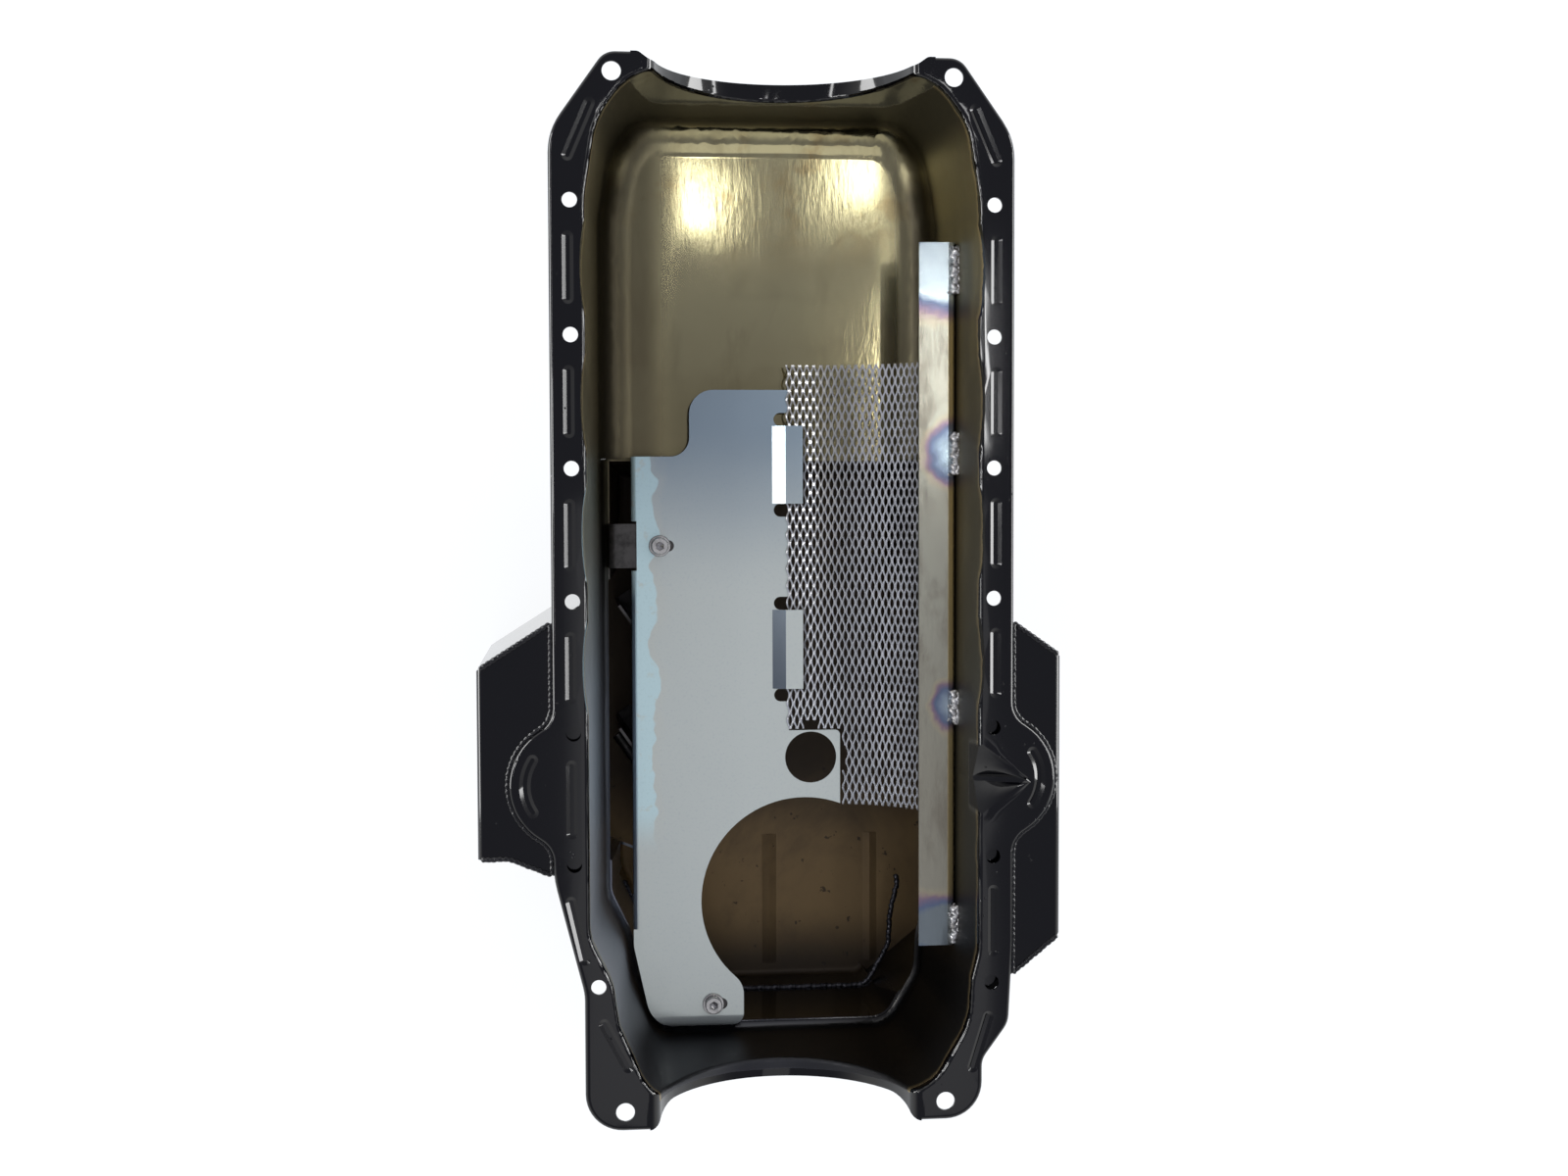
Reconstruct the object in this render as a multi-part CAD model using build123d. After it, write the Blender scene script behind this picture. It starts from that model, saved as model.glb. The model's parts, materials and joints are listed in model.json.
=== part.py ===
from build123d import *
import math
import os

# Fabricated wet-sump oil pan for a V8 engine: a stamped shell with a welded-on T-shaped sump.
# Millimetres. +Y points to the front of the engine, +Z up, X = 0 is the crankshaft centre plane.
# Z = 0 is the underside of the sump floor, Y = 0 lies midway between the front and rear rail bolts.

# ---------------------------------------------------------------- driving dimensions
# Heights
RAIL_HEIGHT = 190.5          # top of the bolt rail above the underside of the sump floor
TROUGH_DEPTH = 108.0         # inside depth of the shallow front trough below the rail
TRAY_ABOVE_TROUGH = 11.5     # top of the windage tray above the trough floor
BAR_DEPTH = 45.0             # top of the scraper bar below the rail

# Sheet
SHEET = 1.6                  # stamped shell and sump plates
TRAY_SHEET = 1.5
WALL_DRAFT = 5.0             # degrees, all stamped and fabricated walls
RIM_DROP = 5.5               # height of the rail's turned-down rim, which stands on the kick-outs
RIM_BEND = 2.6               # outside bend radius of the rim
MOUTH_BEND = 2.4             # bend radius between the rail or a seal lip and the wall
TUB_RISE = 2.0               # how far the construction solid of the hollow stands above the rail

# Bolt rail
RAIL_HALF_WIDTH = 123.7      # drives the width of the whole shell
RAIL_FRONT_Y = 285.2
RAIL_REAR_Y = -285.0
BOLT_PITCH = 69.85
BOLT_ROW_X = RAIL_HALF_WIDTH - 11.1
BOLT_ROW_Y = 207.9           # first side bolt, ahead of mid-length
SIDE_BOLTS = 6
SIDE_BOLT_R = 4.0
CORNER_BOLT_R = 5.0
CORNER_BOLT_Y = RAIL_FRONT_Y - 10.55
FRONT_BOLT_X = RAIL_HALF_WIDTH - 33.3
REAR_BOLT_X = RAIL_HALF_WIDTH - 37.1
TAIL_BOLT_LEFT = (23.4 - RAIL_HALF_WIDTH, -206.9)
TAIL_BOLT_RIGHT = (RAIL_HALF_WIDTH - 11.8, -210.4)
EAR_FRONT_INNER_X = RAIL_HALF_WIDTH - 47.2
EAR_REAR_INNER_X = RAIL_HALF_WIDTH - 54.2
EAR_FRONT_R = (4.0, 10.0)    # corner of each front ear and hollow beside it
EAR_REAR_R = (6.0, 9.0)

# Rail lobes and the dipstick pocket
LOBE_X = RAIL_HALF_WIDTH - 10.9
LOBE_Y = -99.0
LOBE_R = 34.0
LOBE_BLEND = 14.0
POCKET_DEPTH = 17.0

# Mouth of the shell, inside face of the wall at the rail
MOUTH_HALF_WIDTH = RAIL_HALF_WIDTH - 18.7
MOUTH_FRONT_Y = RAIL_FRONT_Y - 8.8
MOUTH_REAR_Y = RAIL_REAR_Y + 14.8
SCALLOP_DEPTH = 2.6          # outward bulge of the wall between two bolts
SCALLOP_LENGTH = 54.0
SCALLOP_DROP = 34.0
SCALLOP_RUN_OUT = 4.0        # how far the tapering bulge carries on inside the wall
TROUGH_FILLET = 20.0         # inside radius between trough wall and floor
SUMP_LIP_FILLET = 8.0        # inside radius where the shell turns in to meet the sump
SUMP_INSET = 12.8            # sump opening inside the mouth
TROUGH_END_Y = 74.9          # rear edge of the trough floor

# Arched seal lips
LIP_R = EAR_FRONT_INNER_X - 6.5
LIP_CENTRE_RISE = 12.0       # arch centre above the rail
LIP_BLEND = 8.0              # radius between arch and rail
FRONT_LIP_Y = (RAIL_FRONT_Y - 17.2, RAIL_FRONT_Y - 4.3)
REAR_LIP_Y = (RAIL_REAR_Y + 9.8, RAIL_REAR_Y + 23.0)
LIP_FLANGE = 4.0             # turned-down outer edge of each lip
LIP_SPREAD = 4.0             # each lip runs this far on under the ears

# Stiffening beads
BEAD_WIDTH = 6.0
BEAD_DEPTH = 1.2
BEAD_SLOPE = 58.0            # degrees between a bead's flanks and the vertical

# Kick-out boxes
KICKOUT_LEFT_X = -RAIL_HALF_WIDTH - 39.8
KICKOUT_RIGHT_X = RAIL_HALF_WIDTH + 27.3
KICKOUT_BEND = 4.0
KICKOUT_ROOT_X = RAIL_HALF_WIDTH - 53.7  # inside this the kick-outs' plates have ended
KICKOUT_LIP = 12.0           # width of each skin's lip that the floor plate meets
KICKOUT_WELD_R = 2.0
SEAM_THICKNESS = 1.2         # how far the floor seam weld stands off the wall
FLOOR_BEND = 5.0             # outside bend radius where walls meet the sump floor
FLOOR_UPTURN = 27.0          # height of the floor plate's turned-up rear edge
FLOOR_CREASES_X = (9.0, MOUTH_HALF_WIDTH - 32.0)
CREASE_WIDTH = 9.0
CREASE_DEPTH = 1.2
CREASE_Y = (-242.0, -160.0)
UPTURN_FRONT_Y = -178.0      # the floor's turned-up edge ends this far forward

# Windage tray
TRAY_LEFT_X = 26.0 - MOUTH_HALF_WIDTH
TRAY_RIGHT_X = 12.0
TRAY_FRONT_Y = 114.7
TRAY_REAR_Y = MOUTH_REAR_Y + 12.6
TRAY_STEP_Y = 76.3           # front end of the left edge
TRAY_LUG_X = TRAY_LEFT_X + 33.6
TRAY_CORNER_Y = -208.0       # where the left edge turns in towards the tail
TRAY_TAIL_X = (TRAY_LEFT_X + 11.0, -15.0)
TRAY_WING_X = 42.0           # right edge beside the pickup hole
TRAY_WING_Y = -83.0
TRAY_EDGE_FOLD = 9.0
TRAY_ROLL_R = 8.0            # outside bend radius of the rear end
TRAY_FOLD_R = 3.0            # outside bend radius of the left edge
TRAY_TAIL_R = (9.0, 20.0)    # rear corners of the tail, right and left
TRAY_WAIST_R = 14.0          # corner between the pickup hole and the tail
PICKUP_CENTRE = (20.6, -182.6)
PICKUP_R = 60.2
TRAY_HOLE_CENTRE = (24.7, -98.9)
TRAY_HOLE_R = 15.0
LOUVRE_SPANS = ((49.0, 94.0), (-58.5, -12.5))
LOUVRE_CLEARANCE = 0.2       # tab above the screen it holds down
LOUVRE_START_X = 2.5
LOUVRE_STEP = 7.5
LOUVRE_END_X = 20.0
LOUVRE_RELIEF_X = 3.4
SLOT_WIDTH = 7.5

# Scraper bar
BAR_LEFT_X = MOUTH_HALF_WIDTH - 25.3
BAR_SHEET = 3.0
BAR_FOLD = 6.0
BAR_BEND = 4.5
BAR_Y = (-199.8, 193.8)
BAR_WELDS_Y = ((165.0, 192.0), (65.0, 89.0), (-75.0, -55.0), (-199.0, -176.5))
WELD_R = 2.6

# Expanded-metal screen
SCREEN_SHEET = 2.0
SCREEN_LEFT_X = 10.6
SCREEN_FRONT_Y = 128.8
SCREEN_REAR_Y = -124.0
SCREEN_FLAT_END_X = 25.0     # the screen is flat up to here and curves up beyond it
SCREEN_CURVE_R = BAR_LEFT_X - 8.7
SCREEN_CELL_ACROSS = 14.2
SCREEN_CELL_ALONG = 28.0
SCREEN_STRAND = 3.4

# Tray fasteners and brackets
TRAY_SCREWS = ((TRAY_LEFT_X + 16.2, 24.9), (-32.9, TRAY_REAR_Y + 14.6))
SCREW_R = 3.0
SCREW_HEAD_R = 5.0
SCREW_HEAD_HEIGHT = 4.0
SCREW_HEX = 4.0
SCREW_LENGTH = 14.0
WASHER_R = 6.2
WASHER_THICKNESS = 1.2
NUT_ACROSS_FLATS = 10.0
NUT_HEIGHT = 5.0
BRACKET_WIDTH = 25.5
BRACKET_SHEET = 2.5
BRACKET_BEND = 4.0
BRACKET_END = 11.0           # bracket beyond the screw
BRACKET_LEG = 16.0           # front bracket's leg down the wall
BRACKET_REAR_TAB = 17.0
BRACKET_REAR_DROP = 20.0
SCREW_SLOT = 5.0             # length by which each screw hole is slotted
HOLE_CLEARANCE = 0.3

# Diagonal baffles with trap doors
BAFFLE_ANGLE = -55.0         # plan direction of both baffles, from the left wall
BAFFLE_STARTS = ((19.0 - MOUTH_HALF_WIDTH, -10.0), (19.0 - MOUTH_HALF_WIDTH, -82.0))
BAFFLE_LENGTHS = (128.0, 78.0)
BAFFLE_SHEET = 1.6
DOOR_WIDTH = 46.0
DOOR_HEIGHT = 42.0
DOOR_SHEET = 1.2
DOOR_OVERLAP = 5.0           # door laps over its window on each side
DOOR_CLEARANCE = 0.4
DOOR_FLOOR_GAP = 3.0
BAFFLE_FLANGE = 10.0
PIN_R = 1.6
PIN_CLEARANCE = 0.06
KNUCKLE_R = 3.4
KNUCKLE_GAP = 0.5
KNUCKLE_LENGTH = 10.0

# Drain
DRAIN_X = -30.0
DRAIN_Z = 14.5
DRAIN_THREAD_R = 6.35
DRAIN_BUNG_R = 10.5
DRAIN_BUNG_LENGTH = 10.0
DRAIN_BUNG_STANDOUT = 4.0
DRAIN_HEAD_FLATS = 19.0
DRAIN_HEAD_HEIGHT = 7.0
DRAIN_SHANK = 14.0
DRAIN_WASHER_R = 10.5
DRAIN_WASHER_THICKNESS = 1.5

# Derived heights
RAIL_Z = RAIL_HEIGHT
TROUGH_Z = RAIL_Z - TROUGH_DEPTH
TRAY_Z = TROUGH_Z + TRAY_ABOVE_TROUGH
BAR_Z = RAIL_Z - BAR_DEPTH
BAFFLE_HEIGHT = TRAY_Z - SHEET - 12.4
PIN_Z = SHEET + DOOR_FLOOR_GAP + DOOR_HEIGHT
PIN_OFFSET = BAFFLE_SHEET / 2 + KNUCKLE_R + 0.7  # hinge pins from the middle of their baffle's plate
FAR = 500.0                  # reach of construction solids that only cut


# ---------------------------------------------------------------- helpers
def outline(points, radii):
    """Closed face through the points with each corner rounded by its own radius."""
    return make_face(FilletPolyline(*points, radius=radii, close=True))


def polygon(points):
    """Straight-sided face, its corners taken anticlockwise whichever way they are listed."""
    turns = zip(points, points[1:] + points[:1])
    doubled_area = sum(a[0] * b[1] - b[0] * a[1] for a, b in turns)
    return make_face(Polyline(*(points if doubled_area > 0 else points[::-1]), close=True))


def slab(face, z_low, z_high):
    """The face as a prism between two heights."""
    return extrude(Pos(0, 0, z_low) * face, amount=z_high - z_low)


def block(x_span, y_span, z_span):
    size = [span[1] - span[0] for span in (x_span, y_span, z_span)]
    centre = [(span[0] + span[1]) / 2 for span in (x_span, y_span, z_span)]
    return Pos(*centre) * Box(*size)


def drafted(face, z_top, depth):
    """The face pushed down from z_top, its walls closing in by the wall draft."""
    return extrude(Pos(0, 0, z_top) * face, amount=depth, dir=(0, 0, -1), taper=WALL_DRAFT)


def draft_inset(depth):
    """How far a drafted wall has moved in at this depth."""
    return depth * math.tan(math.radians(WALL_DRAFT))


# ---------------------------------------------------------------- shell outlines
def lobe_blend(sign, way, grow=0.0):
    """Concave fillet between a lobe and the straight side of the rail, moved outward by grow."""
    reach = RAIL_HALF_WIDTH + LOBE_BLEND - LOBE_X
    rise = math.sqrt((LOBE_R + LOBE_BLEND) ** 2 - reach**2)
    blend_centre = (sign * (RAIL_HALF_WIDTH + LOBE_BLEND), LOBE_Y + way * rise)
    foot = (sign * RAIL_HALF_WIDTH, blend_centre[1])
    web = polygon([(sign * LOBE_X, LOBE_Y), blend_centre, foot])
    return web - Pos(*blend_centre) * Circle(LOBE_BLEND - grow)


def rail_face():
    """Outer outline of the bolt rail: straight sides, four ears, two round lobes."""
    side = RAIL_HALF_WIDTH
    points = [
        (-EAR_FRONT_INNER_X, RAIL_FRONT_Y),
        (29.6 - side, RAIL_FRONT_Y),
        (-side, RAIL_FRONT_Y - 41.7),
        (-side, RAIL_REAR_Y + 137.0),
        (16.0 - side, RAIL_REAR_Y + 74.0),
        (16.0 - side, RAIL_REAR_Y),
        (-EAR_REAR_INNER_X, RAIL_REAR_Y),
        (4.0 - EAR_REAR_INNER_X, REAR_LIP_Y[0]),
        (EAR_REAR_INNER_X - 4.0, REAR_LIP_Y[0]),
        (EAR_REAR_INNER_X, RAIL_REAR_Y),
        (side - 16.7, RAIL_REAR_Y),
        (side - 16.7, RAIL_REAR_Y + 32.0),
        (side - 2.2, RAIL_REAR_Y + 52.0),
        (side, RAIL_REAR_Y + 95.0),
        (side, RAIL_FRONT_Y - 41.7),
        (side - 29.6, RAIL_FRONT_Y),
        (EAR_FRONT_INNER_X, RAIL_FRONT_Y),
        (EAR_FRONT_INNER_X - 6.0, FRONT_LIP_Y[1]),
        (6.0 - EAR_FRONT_INNER_X, FRONT_LIP_Y[1]),
    ]
    (ear_front, hollow_front), (ear_rear, hollow_rear) = EAR_FRONT_R, EAR_REAR_R
    left_radii = [ear_front, 11, 35, 60, 30, 20, ear_rear, hollow_rear]
    right_radii = [hollow_rear, ear_rear, 20, 12, 14, 60, 35, 11, ear_front]
    radii = left_radii + right_radii + [hollow_front, hollow_front]
    face = outline(points, radii)
    for sign in (-1, 1):
        face += Pos(sign * LOBE_X, LOBE_Y) * Circle(LOBE_R)
        for way in (-1, 1):
            face += lobe_blend(sign, way)
    return face


def mouth_front():
    """Inside outline of the trough at the rail, left open-ended behind the sump's front wall."""
    half = MOUTH_HALF_WIDTH
    overlap_y = TROUGH_END_Y - 45.0
    points = [
        (-half, overlap_y),
        (-half, MOUTH_FRONT_Y - 66.4),
        (6.5 - half, MOUTH_FRONT_Y - 25.5),
        (26.0 - half, MOUTH_FRONT_Y),
        (half - 26.0, MOUTH_FRONT_Y),
        (half - 6.5, MOUTH_FRONT_Y - 25.5),
        (half, MOUTH_FRONT_Y - 66.4),
        (half, overlap_y),
    ]
    return outline(points, [0, 60, 45, 32, 32, 45, 60, 0])


def mouth_rear():
    """Inside outline over the sump at the rail; the walls dodge the two tail bolts."""
    half = MOUTH_HALF_WIDTH
    overlap_y = TROUGH_END_Y + 45.0
    points = [
        (half, overlap_y),
        (half, MOUTH_REAR_Y + 76.2),
        (half - 4.0, MOUTH_REAR_Y + 61.2),
        (half - 5.0, MOUTH_REAR_Y + 38.2),
        (half - 27.0, MOUTH_REAR_Y),
        (33.0 - half, MOUTH_REAR_Y),
        (15.5 - half, MOUTH_REAR_Y + 41.2),
        (12.5 - half, MOUTH_REAR_Y + 63.2),
        (-half, MOUTH_REAR_Y + 89.2),
        (-half, overlap_y),
    ]
    return outline(points, [0, 30, 25, 35, 28, 24, 30, 25, 30, 0])


def tub_part(mouth, grow, fillet_radius, y_span):
    """One end of the pressed hollow, its walls drafted and its floor edge rounded."""
    face = offset(mouth, grow + draft_inset(TUB_RISE))
    floor_z = TROUGH_Z - grow
    solid = drafted(face, RAIL_Z + TUB_RISE, RAIL_Z + TUB_RISE - floor_z)
    low_edges = solid.edges().filter_by_position(Axis.Z, floor_z - 0.01, floor_z + 0.01)
    low_edges = [e for e in low_edges if y_span[0] - 30 < e.center().Y < y_span[1] + 30]
    return fillet(low_edges, fillet_radius + grow) & block((-FAR, FAR), y_span, (-FAR, FAR))


def wall_tub(grow):
    """The pressed hollow as a solid; grow = 0 gives the inside face, SHEET the outside face."""
    front = tub_part(mouth_front(), grow, TROUGH_FILLET, (TROUGH_END_Y, FAR))
    return front + tub_part(mouth_rear(), grow, SUMP_LIP_FILLET, (-FAR, TROUGH_END_Y))


def arch_face(grow):
    """Everything above the seal arch in the X-Z plane, its shoulders rounded into the rail top."""
    reach = math.sqrt((LIP_R + LIP_BLEND) ** 2 - (LIP_CENTRE_RISE + LIP_BLEND) ** 2)
    sky_height = 100.0
    sky = Pos(0, sky_height / 2 - grow) * Rectangle(2 * RAIL_HALF_WIDTH, sky_height)
    face = Pos(0, LIP_CENTRE_RISE) * Circle(LIP_R + grow) + sky
    for sign in (-1, 1):
        web = polygon([(0, LIP_CENTRE_RISE), (sign * reach, -LIP_BLEND), (sign * reach, LIP_CENTRE_RISE)])
        face += web - Pos(sign * reach, -LIP_BLEND) * Circle(LIP_BLEND - grow)
    return face


def arch_solid(grow, y_span):
    """Everything above the seal arch as a prism along Y."""
    upright = Plane((0, y_span[0], RAIL_Z), x_dir=(1, 0, 0), z_dir=(0, -1, 0))
    return extrude(upright * arch_face(grow), amount=y_span[1] - y_span[0], dir=(0, 1, 0))


def seal_lip(y_span, ear_x):
    """Arched lip of constant thickness, its outer edge turned down along the rail's outline."""
    face = rail_face()
    edge_band = slab(face - offset(face, -SHEET), 0, RAIL_Z)
    plate = (arch_solid(SHEET, y_span) & slab(face, 0, RAIL_Z)) + (arch_solid(LIP_FLANGE, y_span) & edge_band)
    lip = plate - arch_solid(0, (y_span[0] - 1, y_span[1] + 1))
    reach = ear_x + LIP_SPREAD
    return lip & block((-reach, reach), (-FAR, FAR), (0, RAIL_Z))


def rail_solid():
    """Flat rail with its rim turned down all round."""
    face = rail_face()
    outer = slab(face, RAIL_Z - RIM_DROP, RAIL_Z)
    outer = fillet(outer.edges().filter_by_position(Axis.Z, RAIL_Z - 0.01, RAIL_Z + 0.01), RIM_BEND)
    inner = slab(offset(face, -SHEET), RAIL_Z - RIM_DROP - 1, RAIL_Z - SHEET)
    top = inner.edges().filter_by_position(Axis.Z, RAIL_Z - SHEET - 0.01, RAIL_Z - SHEET + 0.01)
    inner = fillet(top, RIM_BEND - SHEET)
    return outer - inner


# ---------------------------------------------------------------- pressed details of the shell
def bay_centre_y(bay):
    """Middle of the gap between two side bolts, counted from the front."""
    return BOLT_ROW_Y - (bay + 0.5) * BOLT_PITCH


def scallop(side, bay, grow):
    """Shallow outward bulge of the wall between two bolts, fading out below the rail."""
    radius = (SCALLOP_LENGTH**2 / 4 + SCALLOP_DEPTH**2) / (2 * SCALLOP_DEPTH)
    inside_reach = 22.0
    arc = Pos(MOUTH_HALF_WIDTH + SCALLOP_DEPTH - radius, 0) * Circle(radius)
    window = Pos(MOUTH_HALF_WIDTH, 0) * Rectangle(2 * inside_reach, SCALLOP_LENGTH)
    face = offset(arc & window, grow)
    fade = math.degrees(math.atan((SCALLOP_DEPTH + draft_inset(SCALLOP_DROP)) / SCALLOP_DROP))
    bulge = extrude(face, amount=SCALLOP_DROP + SCALLOP_RUN_OUT, dir=(0, 0, -1), taper=fade)
    turn = 0 if side > 0 else 180
    return Pos(0, bay_centre_y(bay), RAIL_Z) * Rot(0, 0, turn) * bulge


def slot_face(start, end, width):
    """Round-ended slot between two points."""
    run = math.dist(start, end)
    angle = math.degrees(math.atan2(end[1] - start[1], end[0] - start[0]))
    middle = ((start[0] + end[0]) / 2, (start[1] + end[1]) / 2)
    return Pos(*middle) * Rot(0, 0, angle) * SlotCenterToCenter(run, width)


def bead_lines():
    """Centre lines of the straight stiffening beads, as pairs of points."""
    x = RAIL_HALF_WIDTH - 10.0
    half = 16.0
    lines = []
    for side in (-1, 1):
        for bay in range(4):
            y = bay_centre_y(bay)
            lines.append(((side * x, y - half), (side * x, y + half)))
        lines.append(((side * (x - 11.7), RAIL_FRONT_Y - 27.2), (side * (x - 0.2), RAIL_FRONT_Y - 54.2)))
    lines.append(((-x, bay_centre_y(4) - 18.0), (-x, bay_centre_y(4) + 18.0)))
    lines.append(((-x - 0.8, RAIL_REAR_Y + 124.0), (6.2 - x, RAIL_REAR_Y + 93.0)))
    lines.append(((16.2 - x, RAIL_REAR_Y + 58.0), (28.7 - x, RAIL_REAR_Y + 34.5)))
    lines.append(((x - 1, RAIL_REAR_Y + 92.0), (x - 1, RAIL_REAR_Y + 125.0)))
    lines.append(((x - 3.7, RAIL_REAR_Y + 56.0), (x - 12.2, RAIL_REAR_Y + 28.5)))
    return lines


def lobe_bead(side, width):
    """Curved bead that follows the outside of a lobe."""
    middle = 0 if side > 0 else 180
    arc = CenterArc((side * LOBE_X, LOBE_Y), LOBE_R - 8.5, middle - 33, 66)
    return SlotArc(arc, width)


def bead_faces(width):
    faces = [slot_face(start, end, width) for start, end in bead_lines()]
    return faces + [lobe_bead(side, width) for side in (-1, 1)]


def pressed(faces, z_top, depth):
    """Shallow depressions with sloping sides, pressed down from z_top."""
    return [extrude(Pos(0, 0, z_top) * face, amount=depth, dir=(0, 0, -1), taper=BEAD_SLOPE) for face in faces]


def pocket(grow):
    """Three-sided funnel pressed into the right lobe, running down through the wall."""
    spread = 2.4 * grow
    lift = 0.01
    corners = [
        (LOBE_X - 8.8 - spread, LOBE_Y + 20.5 + spread, RAIL_Z + lift),
        (LOBE_X + 19.0 + spread, LOBE_Y, RAIL_Z + lift),
        (LOBE_X - 8.8 - spread, LOBE_Y - 21.0 - spread, RAIL_Z + lift),
        (LOBE_X - 17.8 - grow, LOBE_Y - 0.5, RAIL_Z - POCKET_DEPTH - 1.3 * grow),
    ]
    sides = [(0, 1, 2), (0, 3, 1), (1, 3, 2), (2, 3, 0)]
    faces = [Face(Wire.make_polygon([corners[i] for i in side], close=True)) for side in sides]
    return Solid(Shell(faces))


def rail_bolts():
    """Centre and radius of every bolt hole in the rail."""
    bolts = [(side * FRONT_BOLT_X, CORNER_BOLT_Y, CORNER_BOLT_R) for side in (-1, 1)]
    bolts += [(side * REAR_BOLT_X, -CORNER_BOLT_Y, CORNER_BOLT_R) for side in (-1, 1)]
    for side in (-1, 1):
        for index in range(SIDE_BOLTS):
            bolts.append((side * BOLT_ROW_X, BOLT_ROW_Y - index * BOLT_PITCH, SIDE_BOLT_R))
    for x, y in (TAIL_BOLT_LEFT, TAIL_BOLT_RIGHT):
        bolts.append((x, y, SIDE_BOLT_R))
    return bolts


def shell_block():
    """The stamping before it is hollowed out."""
    tub = wall_tub(SHEET) & block((-FAR, FAR), (-FAR, FAR), (0, RAIL_Z))
    solid = rail_solid() + tub
    solid += seal_lip((FRONT_LIP_Y[0], RAIL_FRONT_Y), EAR_FRONT_INNER_X)
    solid += seal_lip((RAIL_REAR_Y, REAR_LIP_Y[1]), EAR_REAR_INNER_X)
    extras = [scallop(side, bay, SHEET) for side in (-1, 1) for bay in range(4)]
    extras += pressed(bead_faces(BEAD_WIDTH + SHEET), RAIL_Z - SHEET / 2, BEAD_DEPTH + SHEET / 2)
    extras.append(pocket(SHEET) & block((0, FAR), (-FAR, FAR), (0, RAIL_Z)))
    return solid + extras


def mouth_cut():
    """The hollow with open air above it, bent outward where it meets the rail and the seal lips."""
    tub = wall_tub(0)
    sky = block((-MOUTH_HALF_WIDTH - 2 * MOUTH_BEND, MOUTH_HALF_WIDTH + 2 * MOUTH_BEND),
                (MOUTH_REAR_Y - 2 * MOUTH_BEND, MOUTH_FRONT_Y + 2 * MOUTH_BEND), (RAIL_Z, RAIL_Z + 10))
    for span in ((FRONT_LIP_Y[0] - 12, RAIL_FRONT_Y + 5), (RAIL_REAR_Y - 5, REAR_LIP_Y[1] + 12)):
        sky += arch_solid(0, span)
    opened = tub + sky
    return fillet(new_edges(tub, sky, combined=opened), MOUTH_BEND)


def build_shell(solid):
    """One-piece stamping: rail, walls, trough and seal lips, open above the sump."""
    cuts = [mouth_cut()]
    cuts += [scallop(side, bay, 0) for side in (-1, 1) for bay in range(4)]
    cuts += pressed(bead_faces(BEAD_WIDTH), RAIL_Z, BEAD_DEPTH)
    cuts.append(pocket(0))
    for x, y, radius in rail_bolts():
        cuts.append(Pos(x, y, RAIL_Z) * Cylinder(radius, 4 * SHEET))
    cuts.append(slab(sump_face(0), TROUGH_Z - 5, TROUGH_Z + SUMP_LIP_FILLET))
    return solid - cuts


# ---------------------------------------------------------------- sump box and kick-outs
def sump_face(grow):
    """Plan of the sump box where it meets the shell."""
    front_limit = TROUGH_END_Y + SUMP_INSET
    size = 400.0
    window = Pos(0, front_limit - size / 2) * Rectangle(size, size)
    return offset(mouth_rear() & window, grow - SUMP_INSET)


def sump_box(grow):
    """The sump box as a drafted solid with rounded bottom edges."""
    z_top = TROUGH_Z + SUMP_LIP_FILLET + SHEET
    z_low = SHEET - grow
    solid = drafted(sump_face(grow), z_top, z_top - z_low)
    low = solid.edges().filter_by_position(Axis.Z, z_low - 0.01, z_low + 0.01)
    return fillet(low, FLOOR_BEND - SHEET + grow)


def kickout_plan(side, outer_x):
    """Plan of a kick-out box: diagonal front, straight side, diagonal rear."""
    reach = abs(outer_x)
    if side < 0:
        root = 103.5 - reach
        return [(root, 27.3), (outer_x, -38.3), (outer_x, -138.5), (16.7 - reach, -138.0), (root, -174.2)]
    root = reach - 101.0
    return [(root, 37.3), (outer_x, -34.0), (outer_x, -185.3), (reach - 80.0, -250.3), (root, -230.0)]


def kickout_solid(side, grow):
    outer_x = KICKOUT_LEFT_X if side < 0 else KICKOUT_RIGHT_X
    face = polygon(kickout_plan(side, outer_x))
    if grow < SHEET:
        face = offset(face, grow - SHEET, kind=Kind.INTERSECTION)
    z_low = SHEET - grow
    z_high = RAIL_Z - RIM_DROP - SHEET + grow
    solid = slab(face, z_low, z_high)
    edge_x = outer_x - side * (SHEET - grow)
    long_edges = solid.edges().filter_by(Axis.Y).filter_by_position(Axis.X, edge_x - 0.01, edge_x + 0.01)
    return fillet(long_edges, KICKOUT_BEND - SHEET + grow)


def tent(x, y_span, z_base):
    """Low triangular prism along Y, used for the pressed creases of the floor."""
    half = CREASE_WIDTH / 2
    profile = polygon([(x - half, 0), (x + half, 0), (x, CREASE_DEPTH)])
    upright = Plane((0, y_span[0], z_base), x_dir=(1, 0, 0), z_dir=(0, -1, 0))
    return extrude(upright * profile, amount=y_span[1] - y_span[0], dir=(0, 1, 0))


def edge_strip(start, end, depth):
    """Thin plan strip on the inner side of one straight edge; inner means towards the sump's middle."""
    run = math.dist(start, end)
    along = ((end[0] - start[0]) / run, (end[1] - start[1]) / run)
    normal = (-along[1], along[0])
    mitre = depth / 3
    start = (start[0] - mitre * along[0], start[1] - mitre * along[1])
    end = (end[0] + mitre * along[0], end[1] + mitre * along[1])
    middle = (0.0, -80.0)
    inward = 1 if normal[0] * (middle[0] - start[0]) + normal[1] * (middle[1] - start[1]) > 0 else -1
    shift = (inward * depth * normal[0], inward * depth * normal[1])
    far_end = (end[0] + shift[0], end[1] + shift[1])
    far_start = (start[0] + shift[0], start[1] + shift[1])
    return polygon([start, end, far_end, far_start])


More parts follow.
